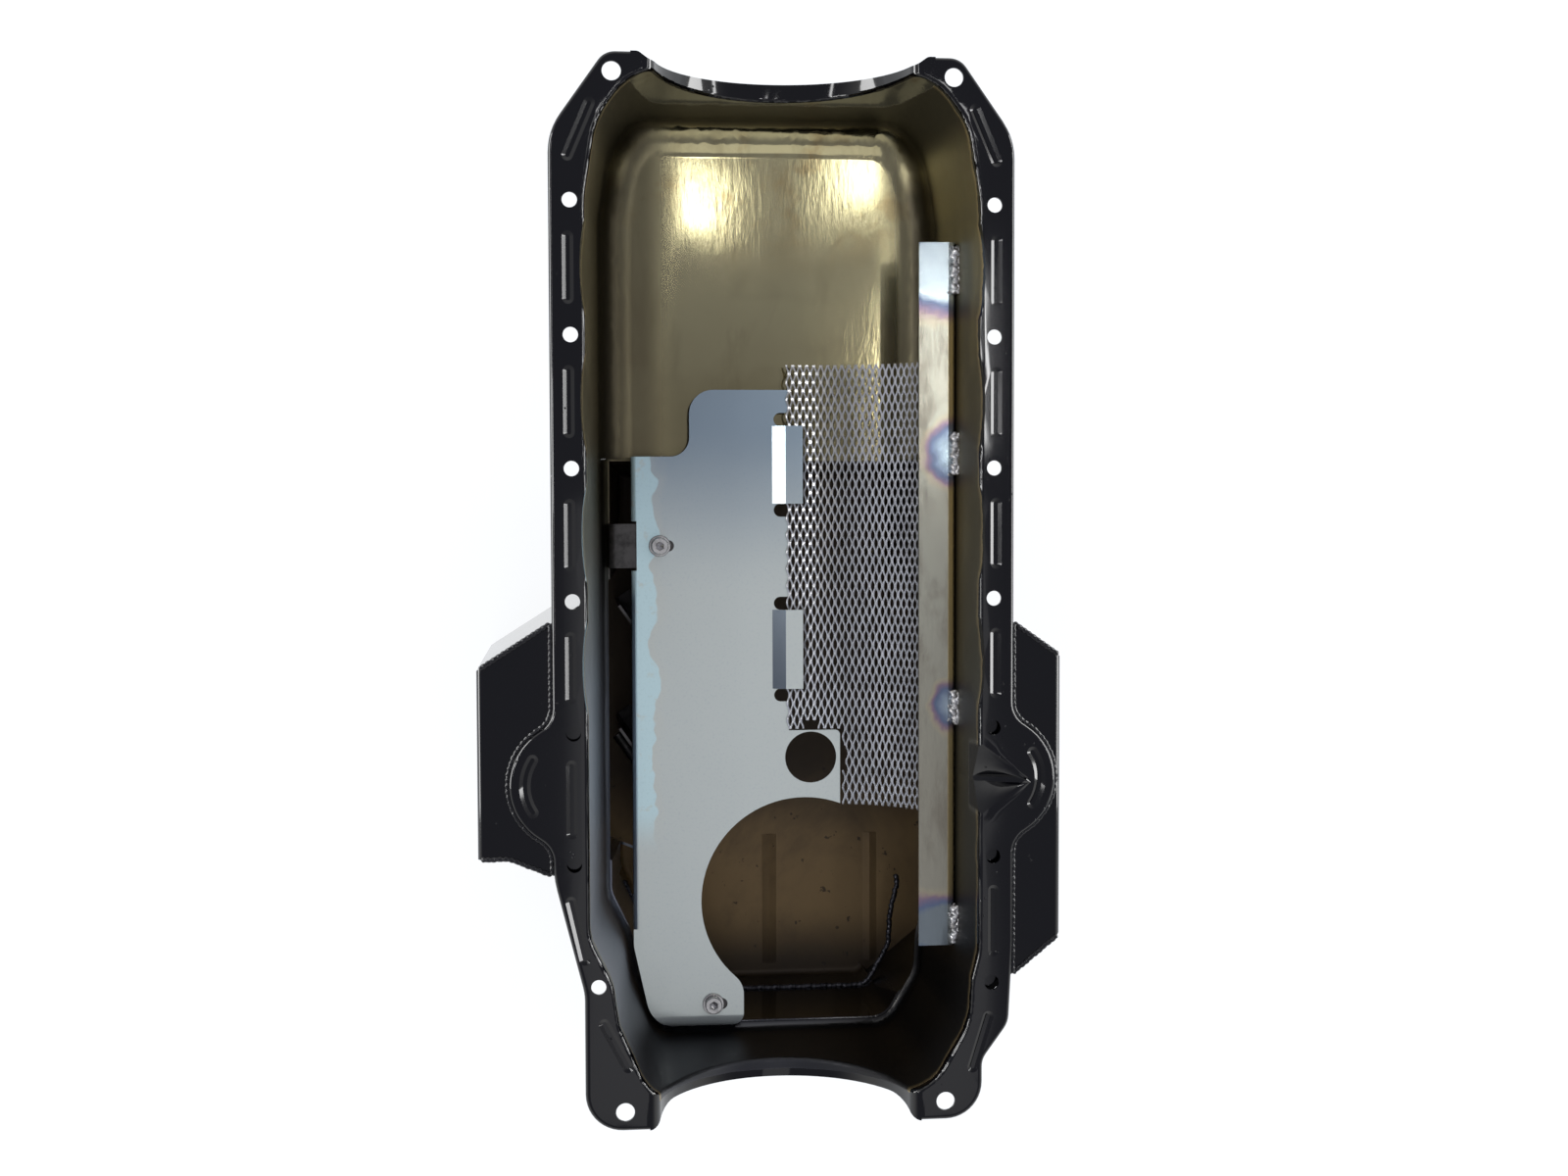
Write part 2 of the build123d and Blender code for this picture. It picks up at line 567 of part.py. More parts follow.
def kickout_ends(side):
    """Plan edges of the front and the rear end plate of a kick-out box."""
    if side < 0:
        plan = kickout_plan(side, KICKOUT_LEFT_X)
        return [plan[0:2], plan[2:5]]
    plan = kickout_plan(side, KICKOUT_RIGHT_X)
    return [plan[0:2], plan[2:4]]


def end_plate_zone(side, edge_points):
    """Upright space that one end plate takes up."""
    limit = -FAR if side < 0 else FAR
    near = side * KICKOUT_ROOT_X
    zone = None
    for start, end in zip(edge_points, edge_points[1:]):
        strip = slab(edge_strip(start, end, SHEET), 0, RAIL_Z)
        zone = strip if zone is None else zone + strip
    return zone & block((min(near, limit), max(near, limit)), (-FAR, FAR), (0, FAR))


def skin_zone(side):
    """Space of a kick-out's wrapped skin: its top, its outer side and a lip under it."""
    outer_x = KICKOUT_LEFT_X if side < 0 else KICKOUT_RIGHT_X
    lip_x = outer_x - side * KICKOUT_LIP
    low = block((min(lip_x, side * FAR), max(lip_x, side * FAR)), (-FAR, FAR), (-1, FAR))
    near = side * KICKOUT_ROOT_X
    high = block((min(near, side * FAR), max(near, side * FAR)), (-FAR, FAR), (TROUGH_Z + 20, FAR))
    return low + high


def build_sump(outer_block, box_solid):
    """The welded box under the shell, cut into the plates it is made of."""
    hollows = [kickout_solid(side, 0) for side in (-1, 1)]
    walls = box_solid - [outer_block, sump_box(0)] - hollows
    pieces = {}
    for side, name in ((-1, "kickout_left"), (1, "kickout_right")):
        front_edge, rear_edge = kickout_ends(side)
        for edge, end_name in ((front_edge, "front_plate"), (rear_edge, "rear_plate")):
            zone = end_plate_zone(side, edge)
            pieces[name + "_" + end_name] = walls & zone
            walls -= zone
        zone = skin_zone(side)
        pieces[name + "_skin"] = walls & zone
        walls -= zone
    floor_zone = block((-FAR, FAR), (-FAR, FAR), (-1, FLOOR_BEND))
    floor_zone += block((-FAR, FAR), (-FAR, UPTURN_FRONT_Y), (-1, FLOOR_UPTURN))
    floor = walls & floor_zone
    upper = walls - floor_zone
    pieces["sump_front_wall"] = upper & block((-FAR, FAR), (0, FAR), (0, FAR))
    pieces["sump_rear_wall"] = upper & block((-FAR, FAR), (-FAR, 0), (0, FAR))
    for x in FLOOR_CREASES_X:
        floor += tent(x, CREASE_Y, SHEET)
        floor -= tent(x, CREASE_Y, 0)
    pieces["sump_floor"] = floor - drain_hole()
    return pieces


def build_seam_weld():
    """Weld along the top of the floor's turned-up rear edge, inside the sump."""
    band = block((-FAR, FAR), (-FAR, UPTURN_FRONT_Y - 4.0), (FLOOR_UPTURN - 1.3, FLOOR_UPTURN + 1.3))
    return (sump_box(0) & band) - sump_box(-SEAM_THICKNESS)


def rod(start, end, radius):
    """Round rod between two points in space."""
    way = Vector(*end) - Vector(*start)
    return extrude(Plane(start, z_dir=way) * Circle(radius), amount=way.length)


def build_kickout_weld(side, box_solid):
    """Weld where the rail's rim stands on the kick-out, and along the edges of its end plates."""
    z_top = RAIL_Z - RIM_DROP
    outer_x = KICKOUT_LEFT_X if side < 0 else KICKOUT_RIGHT_X
    face = Pos(side * LOBE_X, LOBE_Y) * Circle(LOBE_R + KICKOUT_WELD_R)
    face += Pos(side * RAIL_HALF_WIDTH, LOBE_Y) * Rectangle(2 * KICKOUT_WELD_R, 230.0)
    face += [lobe_blend(side, way, KICKOUT_WELD_R) for way in (-1, 1)]
    face &= polygon(kickout_plan(side, outer_x))
    weld = extrude(Pos(0, 0, z_top) * face, amount=KICKOUT_WELD_R, taper=35)
    for edge in kickout_ends(side):
        for start, end in zip(edge, edge[1:]):
            weld += rod((*start, z_top - 0.3), (*end, z_top - 0.3), 0.9 * KICKOUT_WELD_R)
    weld &= block((min(0, outer_x), max(0, outer_x)), (-FAR, FAR), (0, RAIL_Z))
    return weld - [slab(rail_face(), 0, RAIL_Z), box_solid]


# ---------------------------------------------------------------- windage tray, screen and scraper bar
def upright_plane(origin, way):
    """Plane standing on edge: its x axis points along way (in plan), its y axis up."""
    return Plane(origin, x_dir=(*way, 0), z_dir=(way[1], -way[0], 0))


def folded_strip(origin, way, width, drop, radius, sheet, run):
    """Strip of sheet that runs outward along way and is then folded down."""
    points = [(0, 0), (width, 0), (width, -drop), (width - sheet, -drop), (width - sheet, -sheet), (0, -sheet)]
    profile = outline(points, [0, radius, 0, 0, radius - sheet, 0])
    return extrude(upright_plane(origin, way) * profile, amount=run)


def tray_face():
    """Plan of the windage tray, its relief slots and its round holes cut out."""
    points = [
        (TRAY_LEFT_X, TRAY_STEP_Y),
        (TRAY_LUG_X, TRAY_STEP_Y),
        (TRAY_LUG_X, TRAY_FRONT_Y),
        (TRAY_RIGHT_X, TRAY_FRONT_Y),
        (TRAY_RIGHT_X, TRAY_WING_Y),
        (TRAY_WING_X, TRAY_WING_Y),
        (TRAY_WING_X, PICKUP_CENTRE[1]),
        (TRAY_TAIL_X[1], PICKUP_CENTRE[1]),
        (TRAY_TAIL_X[1], TRAY_REAR_Y),
        (TRAY_TAIL_X[0], TRAY_REAR_Y),
        (TRAY_LEFT_X, TRAY_CORNER_Y),
    ]
    right_r, left_r = TRAY_TAIL_R
    face = outline(points, [0, 11, 14, 0, 0, 3, 0, 0, right_r, left_r, 20])
    face -= Pos(*PICKUP_CENTRE) * Circle(PICKUP_R)
    waist = [v for v in face.vertices() if abs(v.X - TRAY_TAIL_X[1]) < 0.1 and v.Y > TRAY_REAR_Y + right_r + 1]
    face = fillet(waist, TRAY_WAIST_R)
    face -= Pos(*TRAY_HOLE_CENTRE) * Circle(TRAY_HOLE_R)
    relief_width = TRAY_RIGHT_X - LOUVRE_RELIEF_X + 2
    slot_r = SLOT_WIDTH / 2
    for span in LOUVRE_SPANS:
        middle = (LOUVRE_RELIEF_X + relief_width / 2, (span[0] + span[1]) / 2)
        face -= Pos(*middle) * Rectangle(relief_width, span[1] - span[0])
        for y in (span[0] - slot_r, span[1] + slot_r):
            face -= slot_face((LOUVRE_RELIEF_X + slot_r, y), (TRAY_RIGHT_X + SLOT_WIDTH, y), SLOT_WIDTH)
    for x, y in TRAY_SCREWS:
        face -= slot_face((x, y), (x + SCREW_SLOT, y), 2 * (SCREW_R + HOLE_CLEARANCE))
    return face


def louvre(span):
    """Tab stepped up from the tray so that it lies over the edge of the screen."""
    rise = SCREEN_SHEET + LOUVRE_CLEARANCE + TRAY_SHEET
    step_x = LOUVRE_START_X + LOUVRE_STEP
    root_x = LOUVRE_START_X - 1.5
    points = [
        (root_x, 0),
        (LOUVRE_START_X, 0),
        (step_x, rise),
        (LOUVRE_END_X, rise),
        (LOUVRE_END_X, rise - TRAY_SHEET),
        (step_x + 0.4, rise - TRAY_SHEET),
        (LOUVRE_START_X + 0.4, -TRAY_SHEET),
        (root_x, -TRAY_SHEET),
    ]
    return extrude(upright_plane((0, span[1], TRAY_Z), (1, 0)) * polygon(points), amount=span[1] - span[0])


def build_tray():
    """Flat louvred plate, its left edge folded down and its rear end rolled down."""
    low = TRAY_Z - TRAY_SHEET
    bend_x = TRAY_LEFT_X + TRAY_FOLD_R
    roll_y = TRAY_REAR_Y + TRAY_ROLL_R
    tray = slab(tray_face(), low, TRAY_Z)
    fold_end = TRAY_CORNER_Y + 10.0
    tray -= block((TRAY_LEFT_X - 1, bend_x), (fold_end, TRAY_STEP_Y), (low - 1, TRAY_Z + 1))
    tray -= block((-FAR, FAR), (TRAY_REAR_Y - 1, roll_y), (low - 1, TRAY_Z + 1))
    notch_half = BRACKET_WIDTH / 2 + 1.5
    notch_y = TRAY_SCREWS[0][1]
    for y_low, y_high in ((fold_end, notch_y - notch_half), (notch_y + notch_half, TRAY_STEP_Y)):
        origin = (bend_x, y_low, TRAY_Z)
        run = y_high - y_low
        tray += folded_strip(origin, (-1, 0), TRAY_FOLD_R, TRAY_EDGE_FOLD, TRAY_FOLD_R, TRAY_SHEET, run)
    origin = (TRAY_TAIL_X[1], roll_y, TRAY_Z)
    run = TRAY_TAIL_X[1] - TRAY_LEFT_X
    roll = folded_strip(origin, (0, -1), TRAY_ROLL_R, TRAY_EDGE_FOLD, TRAY_ROLL_R, TRAY_SHEET, run)
    tray += roll & slab(tray_face(), 0, TRAY_Z)
    return tray + [louvre(span) for span in LOUVRE_SPANS]


def screen_blank():
    """The screen before it is pierced: flat at first, then curving up to the scraper bar."""
    middle = (SCREEN_FLAT_END_X, SCREEN_SHEET / 2 + SCREEN_CURVE_R)
    ring = Pos(*middle) * (Circle(SCREEN_CURVE_R + SCREEN_SHEET / 2) - Circle(SCREEN_CURVE_R - SCREEN_SHEET / 2))
    under_bar = BAR_Z - BAR_SHEET - TRAY_Z
    window = Pos(SCREEN_FLAT_END_X + FAR / 2, under_bar - FAR / 2) * Rectangle(FAR, FAR)
    flat_length = SCREEN_FLAT_END_X - SCREEN_LEFT_X
    flat = Pos(SCREEN_LEFT_X + flat_length / 2, SCREEN_SHEET / 2) * Rectangle(flat_length, SCREEN_SHEET)
    profile = (ring & window) + flat
    plane = upright_plane((0, SCREEN_FRONT_Y, TRAY_Z), (1, 0))
    blank = extrude(plane * profile, amount=SCREEN_FRONT_Y - SCREEN_REAR_Y)
    blank -= block((0, TRAY_WING_X), (-FAR, TRAY_WING_Y), (0, BAR_Z))
    return blank - Pos(*TRAY_HOLE_CENTRE, TRAY_Z) * Cylinder(TRAY_HOLE_R + 6, 20)


def screen_station(run):
    """X position, height and slope of the screen's middle surface at this run from its left edge."""
    beyond = run - (SCREEN_FLAT_END_X - SCREEN_LEFT_X)
    middle_z = TRAY_Z + SCREEN_SHEET / 2
    if beyond <= 0:
        return SCREEN_LEFT_X + run, middle_z, 0.0
    slope = beyond / SCREEN_CURVE_R
    x = SCREEN_FLAT_END_X + SCREEN_CURVE_R * math.sin(slope)
    return x, middle_z + SCREEN_CURVE_R * (1 - math.cos(slope)), slope


def diamond_cutter(run, y):
    """Diamond prism through the screen, square to its surface."""
    half_across = (SCREEN_CELL_ACROSS - SCREEN_STRAND) / 2
    half_along = (SCREEN_CELL_ALONG - 1.7 * SCREEN_STRAND) / 2
    face = polygon([(half_across, 0), (0, half_along), (-half_across, 0), (0, -half_along)])
    x, z, slope = screen_station(run)
    along = (math.cos(slope), 0, math.sin(slope))
    normal = (-math.sin(slope), 0, math.cos(slope))
    cutter = extrude(face, amount=SCREEN_SHEET, both=True)
    return Plane((x, y, z), x_dir=along, z_dir=normal) * cutter


def screen_cells():
    """Run and Y of every diamond that lies wholly inside the screen's plan."""
    cells = []
    run = SCREEN_STRAND + SCREEN_CELL_ACROSS / 2
    column = 0
    while screen_station(run + SCREEN_CELL_ACROSS / 2)[1] < BAR_Z - BAR_SHEET - 1:
        y = SCREEN_FRONT_Y - SCREEN_STRAND - SCREEN_CELL_ALONG * (0.5 + 0.5 * (column % 2))
        while y > SCREEN_REAR_Y + SCREEN_CELL_ALONG / 2:
            x = screen_station(run)[0]
            in_step = y < TRAY_WING_Y + SCREEN_CELL_ALONG / 2 and x < TRAY_WING_X + SCREEN_CELL_ACROSS / 2
            if not in_step:
                cells.append((run, y))
            y -= SCREEN_CELL_ALONG
        run += SCREEN_CELL_ACROSS / 2
        column += 1
    return cells


def build_screen():
    """Expanded-metal screen: a lattice of diamonds in one curved sheet."""
    return screen_blank() - [diamond_cutter(run, y) for run, y in screen_cells()]


def build_scraper_bar(tub):
    """Long flat bar along the right wall, its outer edge folded down against the wall."""
    right_x = MOUTH_HALF_WIDTH - draft_inset(BAR_DEPTH + BAR_FOLD)
    origin = (BAR_LEFT_X, BAR_Y[1], BAR_Z)
    run = BAR_Y[1] - BAR_Y[0]
    return folded_strip(origin, (1, 0), right_x - BAR_LEFT_X, BAR_FOLD, BAR_BEND, BAR_SHEET, run) & tub


def build_scraper_welds(bar, tub):
    """Weld lumps in the valley between the bar and the wall."""
    x = MOUTH_HALF_WIDTH - draft_inset(BAR_DEPTH) - 1.2
    welds = []
    for y_low, y_high in BAR_WELDS_Y:
        lump = rod((x, y_low, BAR_Z + 0.4), (x, y_high, BAR_Z + 0.4), WELD_R)
        welds.append((lump & tub) - bar)
    return welds


# ---------------------------------------------------------------- tray brackets and fasteners
def build_bracket_front(cavity):
    """Angle bracket: tab under the tray, leg down the sump's left wall."""
    x, y = TRAY_SCREWS[0]
    z = TRAY_Z - TRAY_SHEET
    inner_x = x + BRACKET_END
    wall_x = MOUTH_HALF_WIDTH - SUMP_INSET
    origin = (inner_x, y - BRACKET_WIDTH / 2, z)
    width = wall_x + inner_x
    strip = folded_strip(origin, (-1, 0), width, BRACKET_LEG, BRACKET_BEND, BRACKET_SHEET, BRACKET_WIDTH)
    return (strip & cavity) - Pos(x, y, z) * Cylinder(SCREW_R + HOLE_CLEARANCE, 4 * BRACKET_SHEET)


def build_bracket_rear(cavity):
    """C-shaped bracket: tab under the tray, foot back to the sump's rear wall."""
    x, y = TRAY_SCREWS[1]
    z = TRAY_Z - TRAY_SHEET
    sheet, bend = BRACKET_SHEET, BRACKET_BEND
    foot = BRACKET_REAR_DROP
    points = [
        (0, 0),
        (BRACKET_REAR_TAB, 0),
        (BRACKET_REAR_TAB, -sheet),
        (sheet, -sheet),
        (sheet, sheet - foot),
        (40.0, sheet - foot),
        (40.0, -foot),
        (0, -foot),
    ]
    profile = outline(points, [bend, 0, 0, bend - sheet, bend - sheet, 0, 0, bend])
    origin = (x + BRACKET_WIDTH / 2, y + BRACKET_END, z)
    strip = extrude(upright_plane(origin, (0, -1)) * profile, amount=BRACKET_WIDTH)
    return (strip & cavity) - Pos(x, y, z) * Cylinder(SCREW_R + HOLE_CLEARANCE, 4 * BRACKET_SHEET)


def hexagon(across_flats):
    return RegularPolygon(across_flats / math.sqrt(3), 6)


def build_tray_screws():
    """Socket-head screws that hold the tray to its brackets."""
    screws = []
    for x, y in TRAY_SCREWS:
        seat = TRAY_Z + WASHER_THICKNESS
        head = slab(Circle(SCREW_HEAD_R), 0, SCREW_HEAD_HEIGHT)
        rim = head.edges().filter_by_position(Axis.Z, SCREW_HEAD_HEIGHT - 0.01, SCREW_HEAD_HEIGHT + 0.01)
        head = chamfer(rim, 0.5) - slab(hexagon(SCREW_HEX), SCREW_HEAD_HEIGHT - 2.2, SCREW_HEAD_HEIGHT + 1)
        screws.append(Pos(x, y, seat) * (head + slab(Circle(SCREW_R), -SCREW_LENGTH, 0)))
    return screws


def build_tray_washers():
    ring = Circle(WASHER_R) - Circle(SCREW_R + HOLE_CLEARANCE)
    return [Pos(x, y, 0) * slab(ring, TRAY_Z, TRAY_Z + WASHER_THICKNESS) for x, y in TRAY_SCREWS]


def build_tray_nuts():
    ring = hexagon(NUT_ACROSS_FLATS) - Circle(SCREW_R)
    z_top = TRAY_Z - TRAY_SHEET - BRACKET_SHEET
    return [Pos(x, y, 0) * slab(ring, z_top - NUT_HEIGHT, z_top) for x, y in TRAY_SCREWS]


# ---------------------------------------------------------------- baffles with trap doors
def baffle_place(index):
    """Position and turn of a baffle; its plate runs along local X from the left end."""
    return Pos(*BAFFLE_STARTS[index], 0) * Rot(0, 0, BAFFLE_ANGLE)


def door_middle(index):
    return BAFFLE_LENGTHS[index] / 2


def knuckle(x_low, x_high, bore):
    """Hinge tube along the local X axis around the pin."""
    tube = Circle(KNUCKLE_R) - Circle(bore)
    return extrude(Plane((x_low, -PIN_OFFSET, PIN_Z), z_dir=(1, 0, 0)) * tube, amount=x_high - x_low)


def knuckle_spans(index):
    """Local X spans of the two hinge tubes on the baffle, either side of the door."""
    near = DOOR_WIDTH / 2 + KNUCKLE_GAP
    middle = door_middle(index)
    return [
        (middle - near - KNUCKLE_LENGTH, middle - near),
        (middle + near, middle + near + KNUCKLE_LENGTH),
    ]


def build_baffle(index):
    """Upright plate with a foot flange, a window and the two outer hinge tubes."""
    length = BAFFLE_LENGTHS[index]
    half = BAFFLE_SHEET / 2
    middle = door_middle(index)
    window_half = DOOR_WIDTH / 2 - DOOR_OVERLAP
    top = SHEET + BAFFLE_HEIGHT
    baffle = block((0, length), (-half, half), (SHEET, top))
    baffle += block((0, length), (-half, BAFFLE_FLANGE), (SHEET, SHEET + BAFFLE_SHEET))
    window_z = (PIN_Z - DOOR_HEIGHT + DOOR_OVERLAP, PIN_Z - KNUCKLE_R - 1)
    baffle -= block((middle - window_half, middle + window_half), (-half - 1, half + 1), window_z)
    for x_low, x_high in knuckle_spans(index):
        web = block((x_low, x_high), (-PIN_OFFSET, -half), (PIN_Z - 1.2, PIN_Z + 1.2))
        web -= knuckle_bore(x_low, x_high)
        baffle += [knuckle(x_low, x_high, PIN_R), web]
    return baffle_place(index) * baffle


def knuckle_bore(x_low, x_high):
    """Space inside a hinge tube."""
    hole = Circle(PIN_R + 0.5)
    return extrude(Plane((x_low, -PIN_OFFSET, PIN_Z), z_dir=(1, 0, 0)) * hole, amount=x_high - x_low)


def build_trap_door(index):
    """Flap hanging from its hinge tube, closed against the far side of the window."""
    middle = door_middle(index)
    span = (middle - DOOR_WIDTH / 2, middle + DOOR_WIDTH / 2)
    face_y = -BAFFLE_SHEET / 2 - DOOR_CLEARANCE
    flap = block(span, (face_y - DOOR_SHEET, face_y), (PIN_Z - DOOR_HEIGHT, PIN_Z))
    web = block(span, (-PIN_OFFSET, face_y), (PIN_Z - DOOR_SHEET, PIN_Z)) - knuckle_bore(*span)
    return baffle_place(index) * (flap + [web, knuckle(*span, PIN_R + PIN_CLEARANCE)])


def build_hinge_pin(index):
    (x_low, _), (_, x_high) = knuckle_spans(index)
    plane = Plane((x_low, -PIN_OFFSET, PIN_Z), z_dir=(1, 0, 0))
    return baffle_place(index) * extrude(plane * Circle(PIN_R), amount=x_high - x_low)


# ---------------------------------------------------------------- drain
def sump_rear_y(z):
    """Inside face of the sump's rear wall at this height."""
    depth = TROUGH_Z + SUMP_LIP_FILLET + SHEET - z
    return MOUTH_REAR_Y + SUMP_INSET + draft_inset(depth)


def along_rear(face, y_start, length):
    """Extrudes a face backwards (towards -Y) on the drain's axis."""
    return extrude(Plane((DRAIN_X, y_start, DRAIN_Z), z_dir=(0, -1, 0)) * face, amount=length)


def drain_seat_y():
    return sump_rear_y(DRAIN_Z) - SHEET - DRAIN_BUNG_STANDOUT


def drain_hole():
    return along_rear(Circle(DRAIN_BUNG_R), drain_seat_y() + 2 * DRAIN_BUNG_LENGTH, 3 * DRAIN_BUNG_LENGTH)


def build_drain_bung():
    ring = Circle(DRAIN_BUNG_R) - Circle(DRAIN_THREAD_R)
    return along_rear(ring, drain_seat_y() + DRAIN_BUNG_LENGTH, DRAIN_BUNG_LENGTH)


def build_drain_washer():
    ring = Circle(DRAIN_WASHER_R) - Circle(DRAIN_THREAD_R + HOLE_CLEARANCE)
    return along_rear(ring, drain_seat_y(), DRAIN_WASHER_THICKNESS)


def build_drain_plug():
    seat = drain_seat_y() - DRAIN_WASHER_THICKNESS
    shank = along_rear(Circle(DRAIN_THREAD_R), seat + DRAIN_SHANK, DRAIN_SHANK)
    return shank + along_rear(hexagon(DRAIN_HEAD_FLATS), seat, DRAIN_HEAD_HEIGHT)


# ---------------------------------------------------------------- assembly
def as_group(solids):
    """Several separate solids that make one node."""
    return Compound([solid for item in solids for solid in item.solids()])


def main():
    os.makedirs("parts", exist_ok=True)
    parts = {}
    outer_block = shell_block()
    parts["pan_shell"] = build_shell(outer_block)
    box_solid = sump_box(SHEET) + [kickout_solid(side, SHEET) for side in (-1, 1)]
    parts.update(build_sump(outer_block, box_solid))
    parts["sump_seam_weld"] = build_seam_weld()
    parts["kickout_left_weld"] = build_kickout_weld(-1, box_solid)
    parts["kickout_right_weld"] = build_kickout_weld(1, box_solid)
    tub = wall_tub(0)
    cavity = tub + sump_box(0)
    parts["windage_tray"] = build_tray()
    parts["tray_screen"] = build_screen()
    parts["scraper_bar"] = build_scraper_bar(tub)
    parts["scraper_welds"] = as_group(build_scraper_welds(parts["scraper_bar"], tub))
    parts["tray_bracket_front"] = build_bracket_front(cavity)
    parts["tray_bracket_rear"] = build_bracket_rear(cavity)
    parts["tray_screws"] = as_group(build_tray_screws())
    parts["tray_washers"] = as_group(build_tray_washers())
    parts["tray_nuts"] = as_group(build_tray_nuts())
    for index, name in enumerate(("front", "rear")):
        parts["baffle_" + name] = build_baffle(index)
        parts["trap_door_" + name] = build_trap_door(index)
        parts["hinge_pin_" + name] = build_hinge_pin(index)
    parts["drain_bung"] = build_drain_bung()
    parts["drain_washer"] = build_drain_washer()
    parts["drain_plug"] = build_drain_plug()
    for name, shape in parts.items():
        export_step(shape, "parts/" + name + ".step")
        print(name, len(shape.solids()), round(shape.volume), shape.is_valid)


main()
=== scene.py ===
"""Looks of a fabricated engine oil pan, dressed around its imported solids.

Lengths are metres in the pan's own frame: +Y towards the front of the engine, +Z up towards the bolt
rail, X = 0 on the crankshaft's centre plane and Z = 0 under the sump floor.
"""

import json
import logging
import math
from dataclasses import dataclass, field
from enum import Enum

import bpy
import numpy as np
from mathutils import Matrix, Vector

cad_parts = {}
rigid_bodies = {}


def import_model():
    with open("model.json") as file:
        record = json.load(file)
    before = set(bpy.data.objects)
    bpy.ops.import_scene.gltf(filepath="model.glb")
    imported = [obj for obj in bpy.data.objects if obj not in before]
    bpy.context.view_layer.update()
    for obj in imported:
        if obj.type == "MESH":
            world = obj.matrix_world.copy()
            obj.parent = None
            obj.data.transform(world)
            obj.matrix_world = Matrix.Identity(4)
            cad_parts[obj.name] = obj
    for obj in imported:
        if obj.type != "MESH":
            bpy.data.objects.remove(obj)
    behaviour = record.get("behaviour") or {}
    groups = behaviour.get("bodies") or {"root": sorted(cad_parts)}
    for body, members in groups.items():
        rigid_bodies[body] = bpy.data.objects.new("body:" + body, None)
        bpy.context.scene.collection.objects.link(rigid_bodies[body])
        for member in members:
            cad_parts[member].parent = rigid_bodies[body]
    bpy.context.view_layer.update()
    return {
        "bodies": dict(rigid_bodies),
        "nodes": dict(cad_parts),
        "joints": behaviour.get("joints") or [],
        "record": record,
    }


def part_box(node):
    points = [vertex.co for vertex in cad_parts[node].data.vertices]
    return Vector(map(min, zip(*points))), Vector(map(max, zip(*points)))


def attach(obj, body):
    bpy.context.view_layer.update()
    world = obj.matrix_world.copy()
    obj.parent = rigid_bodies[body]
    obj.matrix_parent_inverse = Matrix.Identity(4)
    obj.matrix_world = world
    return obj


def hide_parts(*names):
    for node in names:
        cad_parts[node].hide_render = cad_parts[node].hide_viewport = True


LOG = logging.getLogger("oil_pan")
MM = 0.001
Socket = bpy.types.NodeSocket
Grid = np.ndarray
Color = tuple[float, float, float]
Stops = tuple[tuple[float, Color], ...]
Span = tuple[float, float]
Point2 = tuple[float, float]
Point3 = tuple[float, float, float]
PAN_BODY = "pan"
MIX_A, MIX_B, MIX_RESULT = 6, 7, 2  # colour sockets of a Mix node


class Look(Enum):
    """Finishes that a piece can take."""

    SHEET = "sheet"
    FLOOR = "floor"
    PLATED = "plated"
    BAR = "bar"
    WELD = "weld"
    SEAM = "seam"
    WIRE = "wire"
    FASTENER = "fastener"
    BRACKET = "bracket"
    PAINTED_WELD = "painted_weld"
    COPPER = "copper"


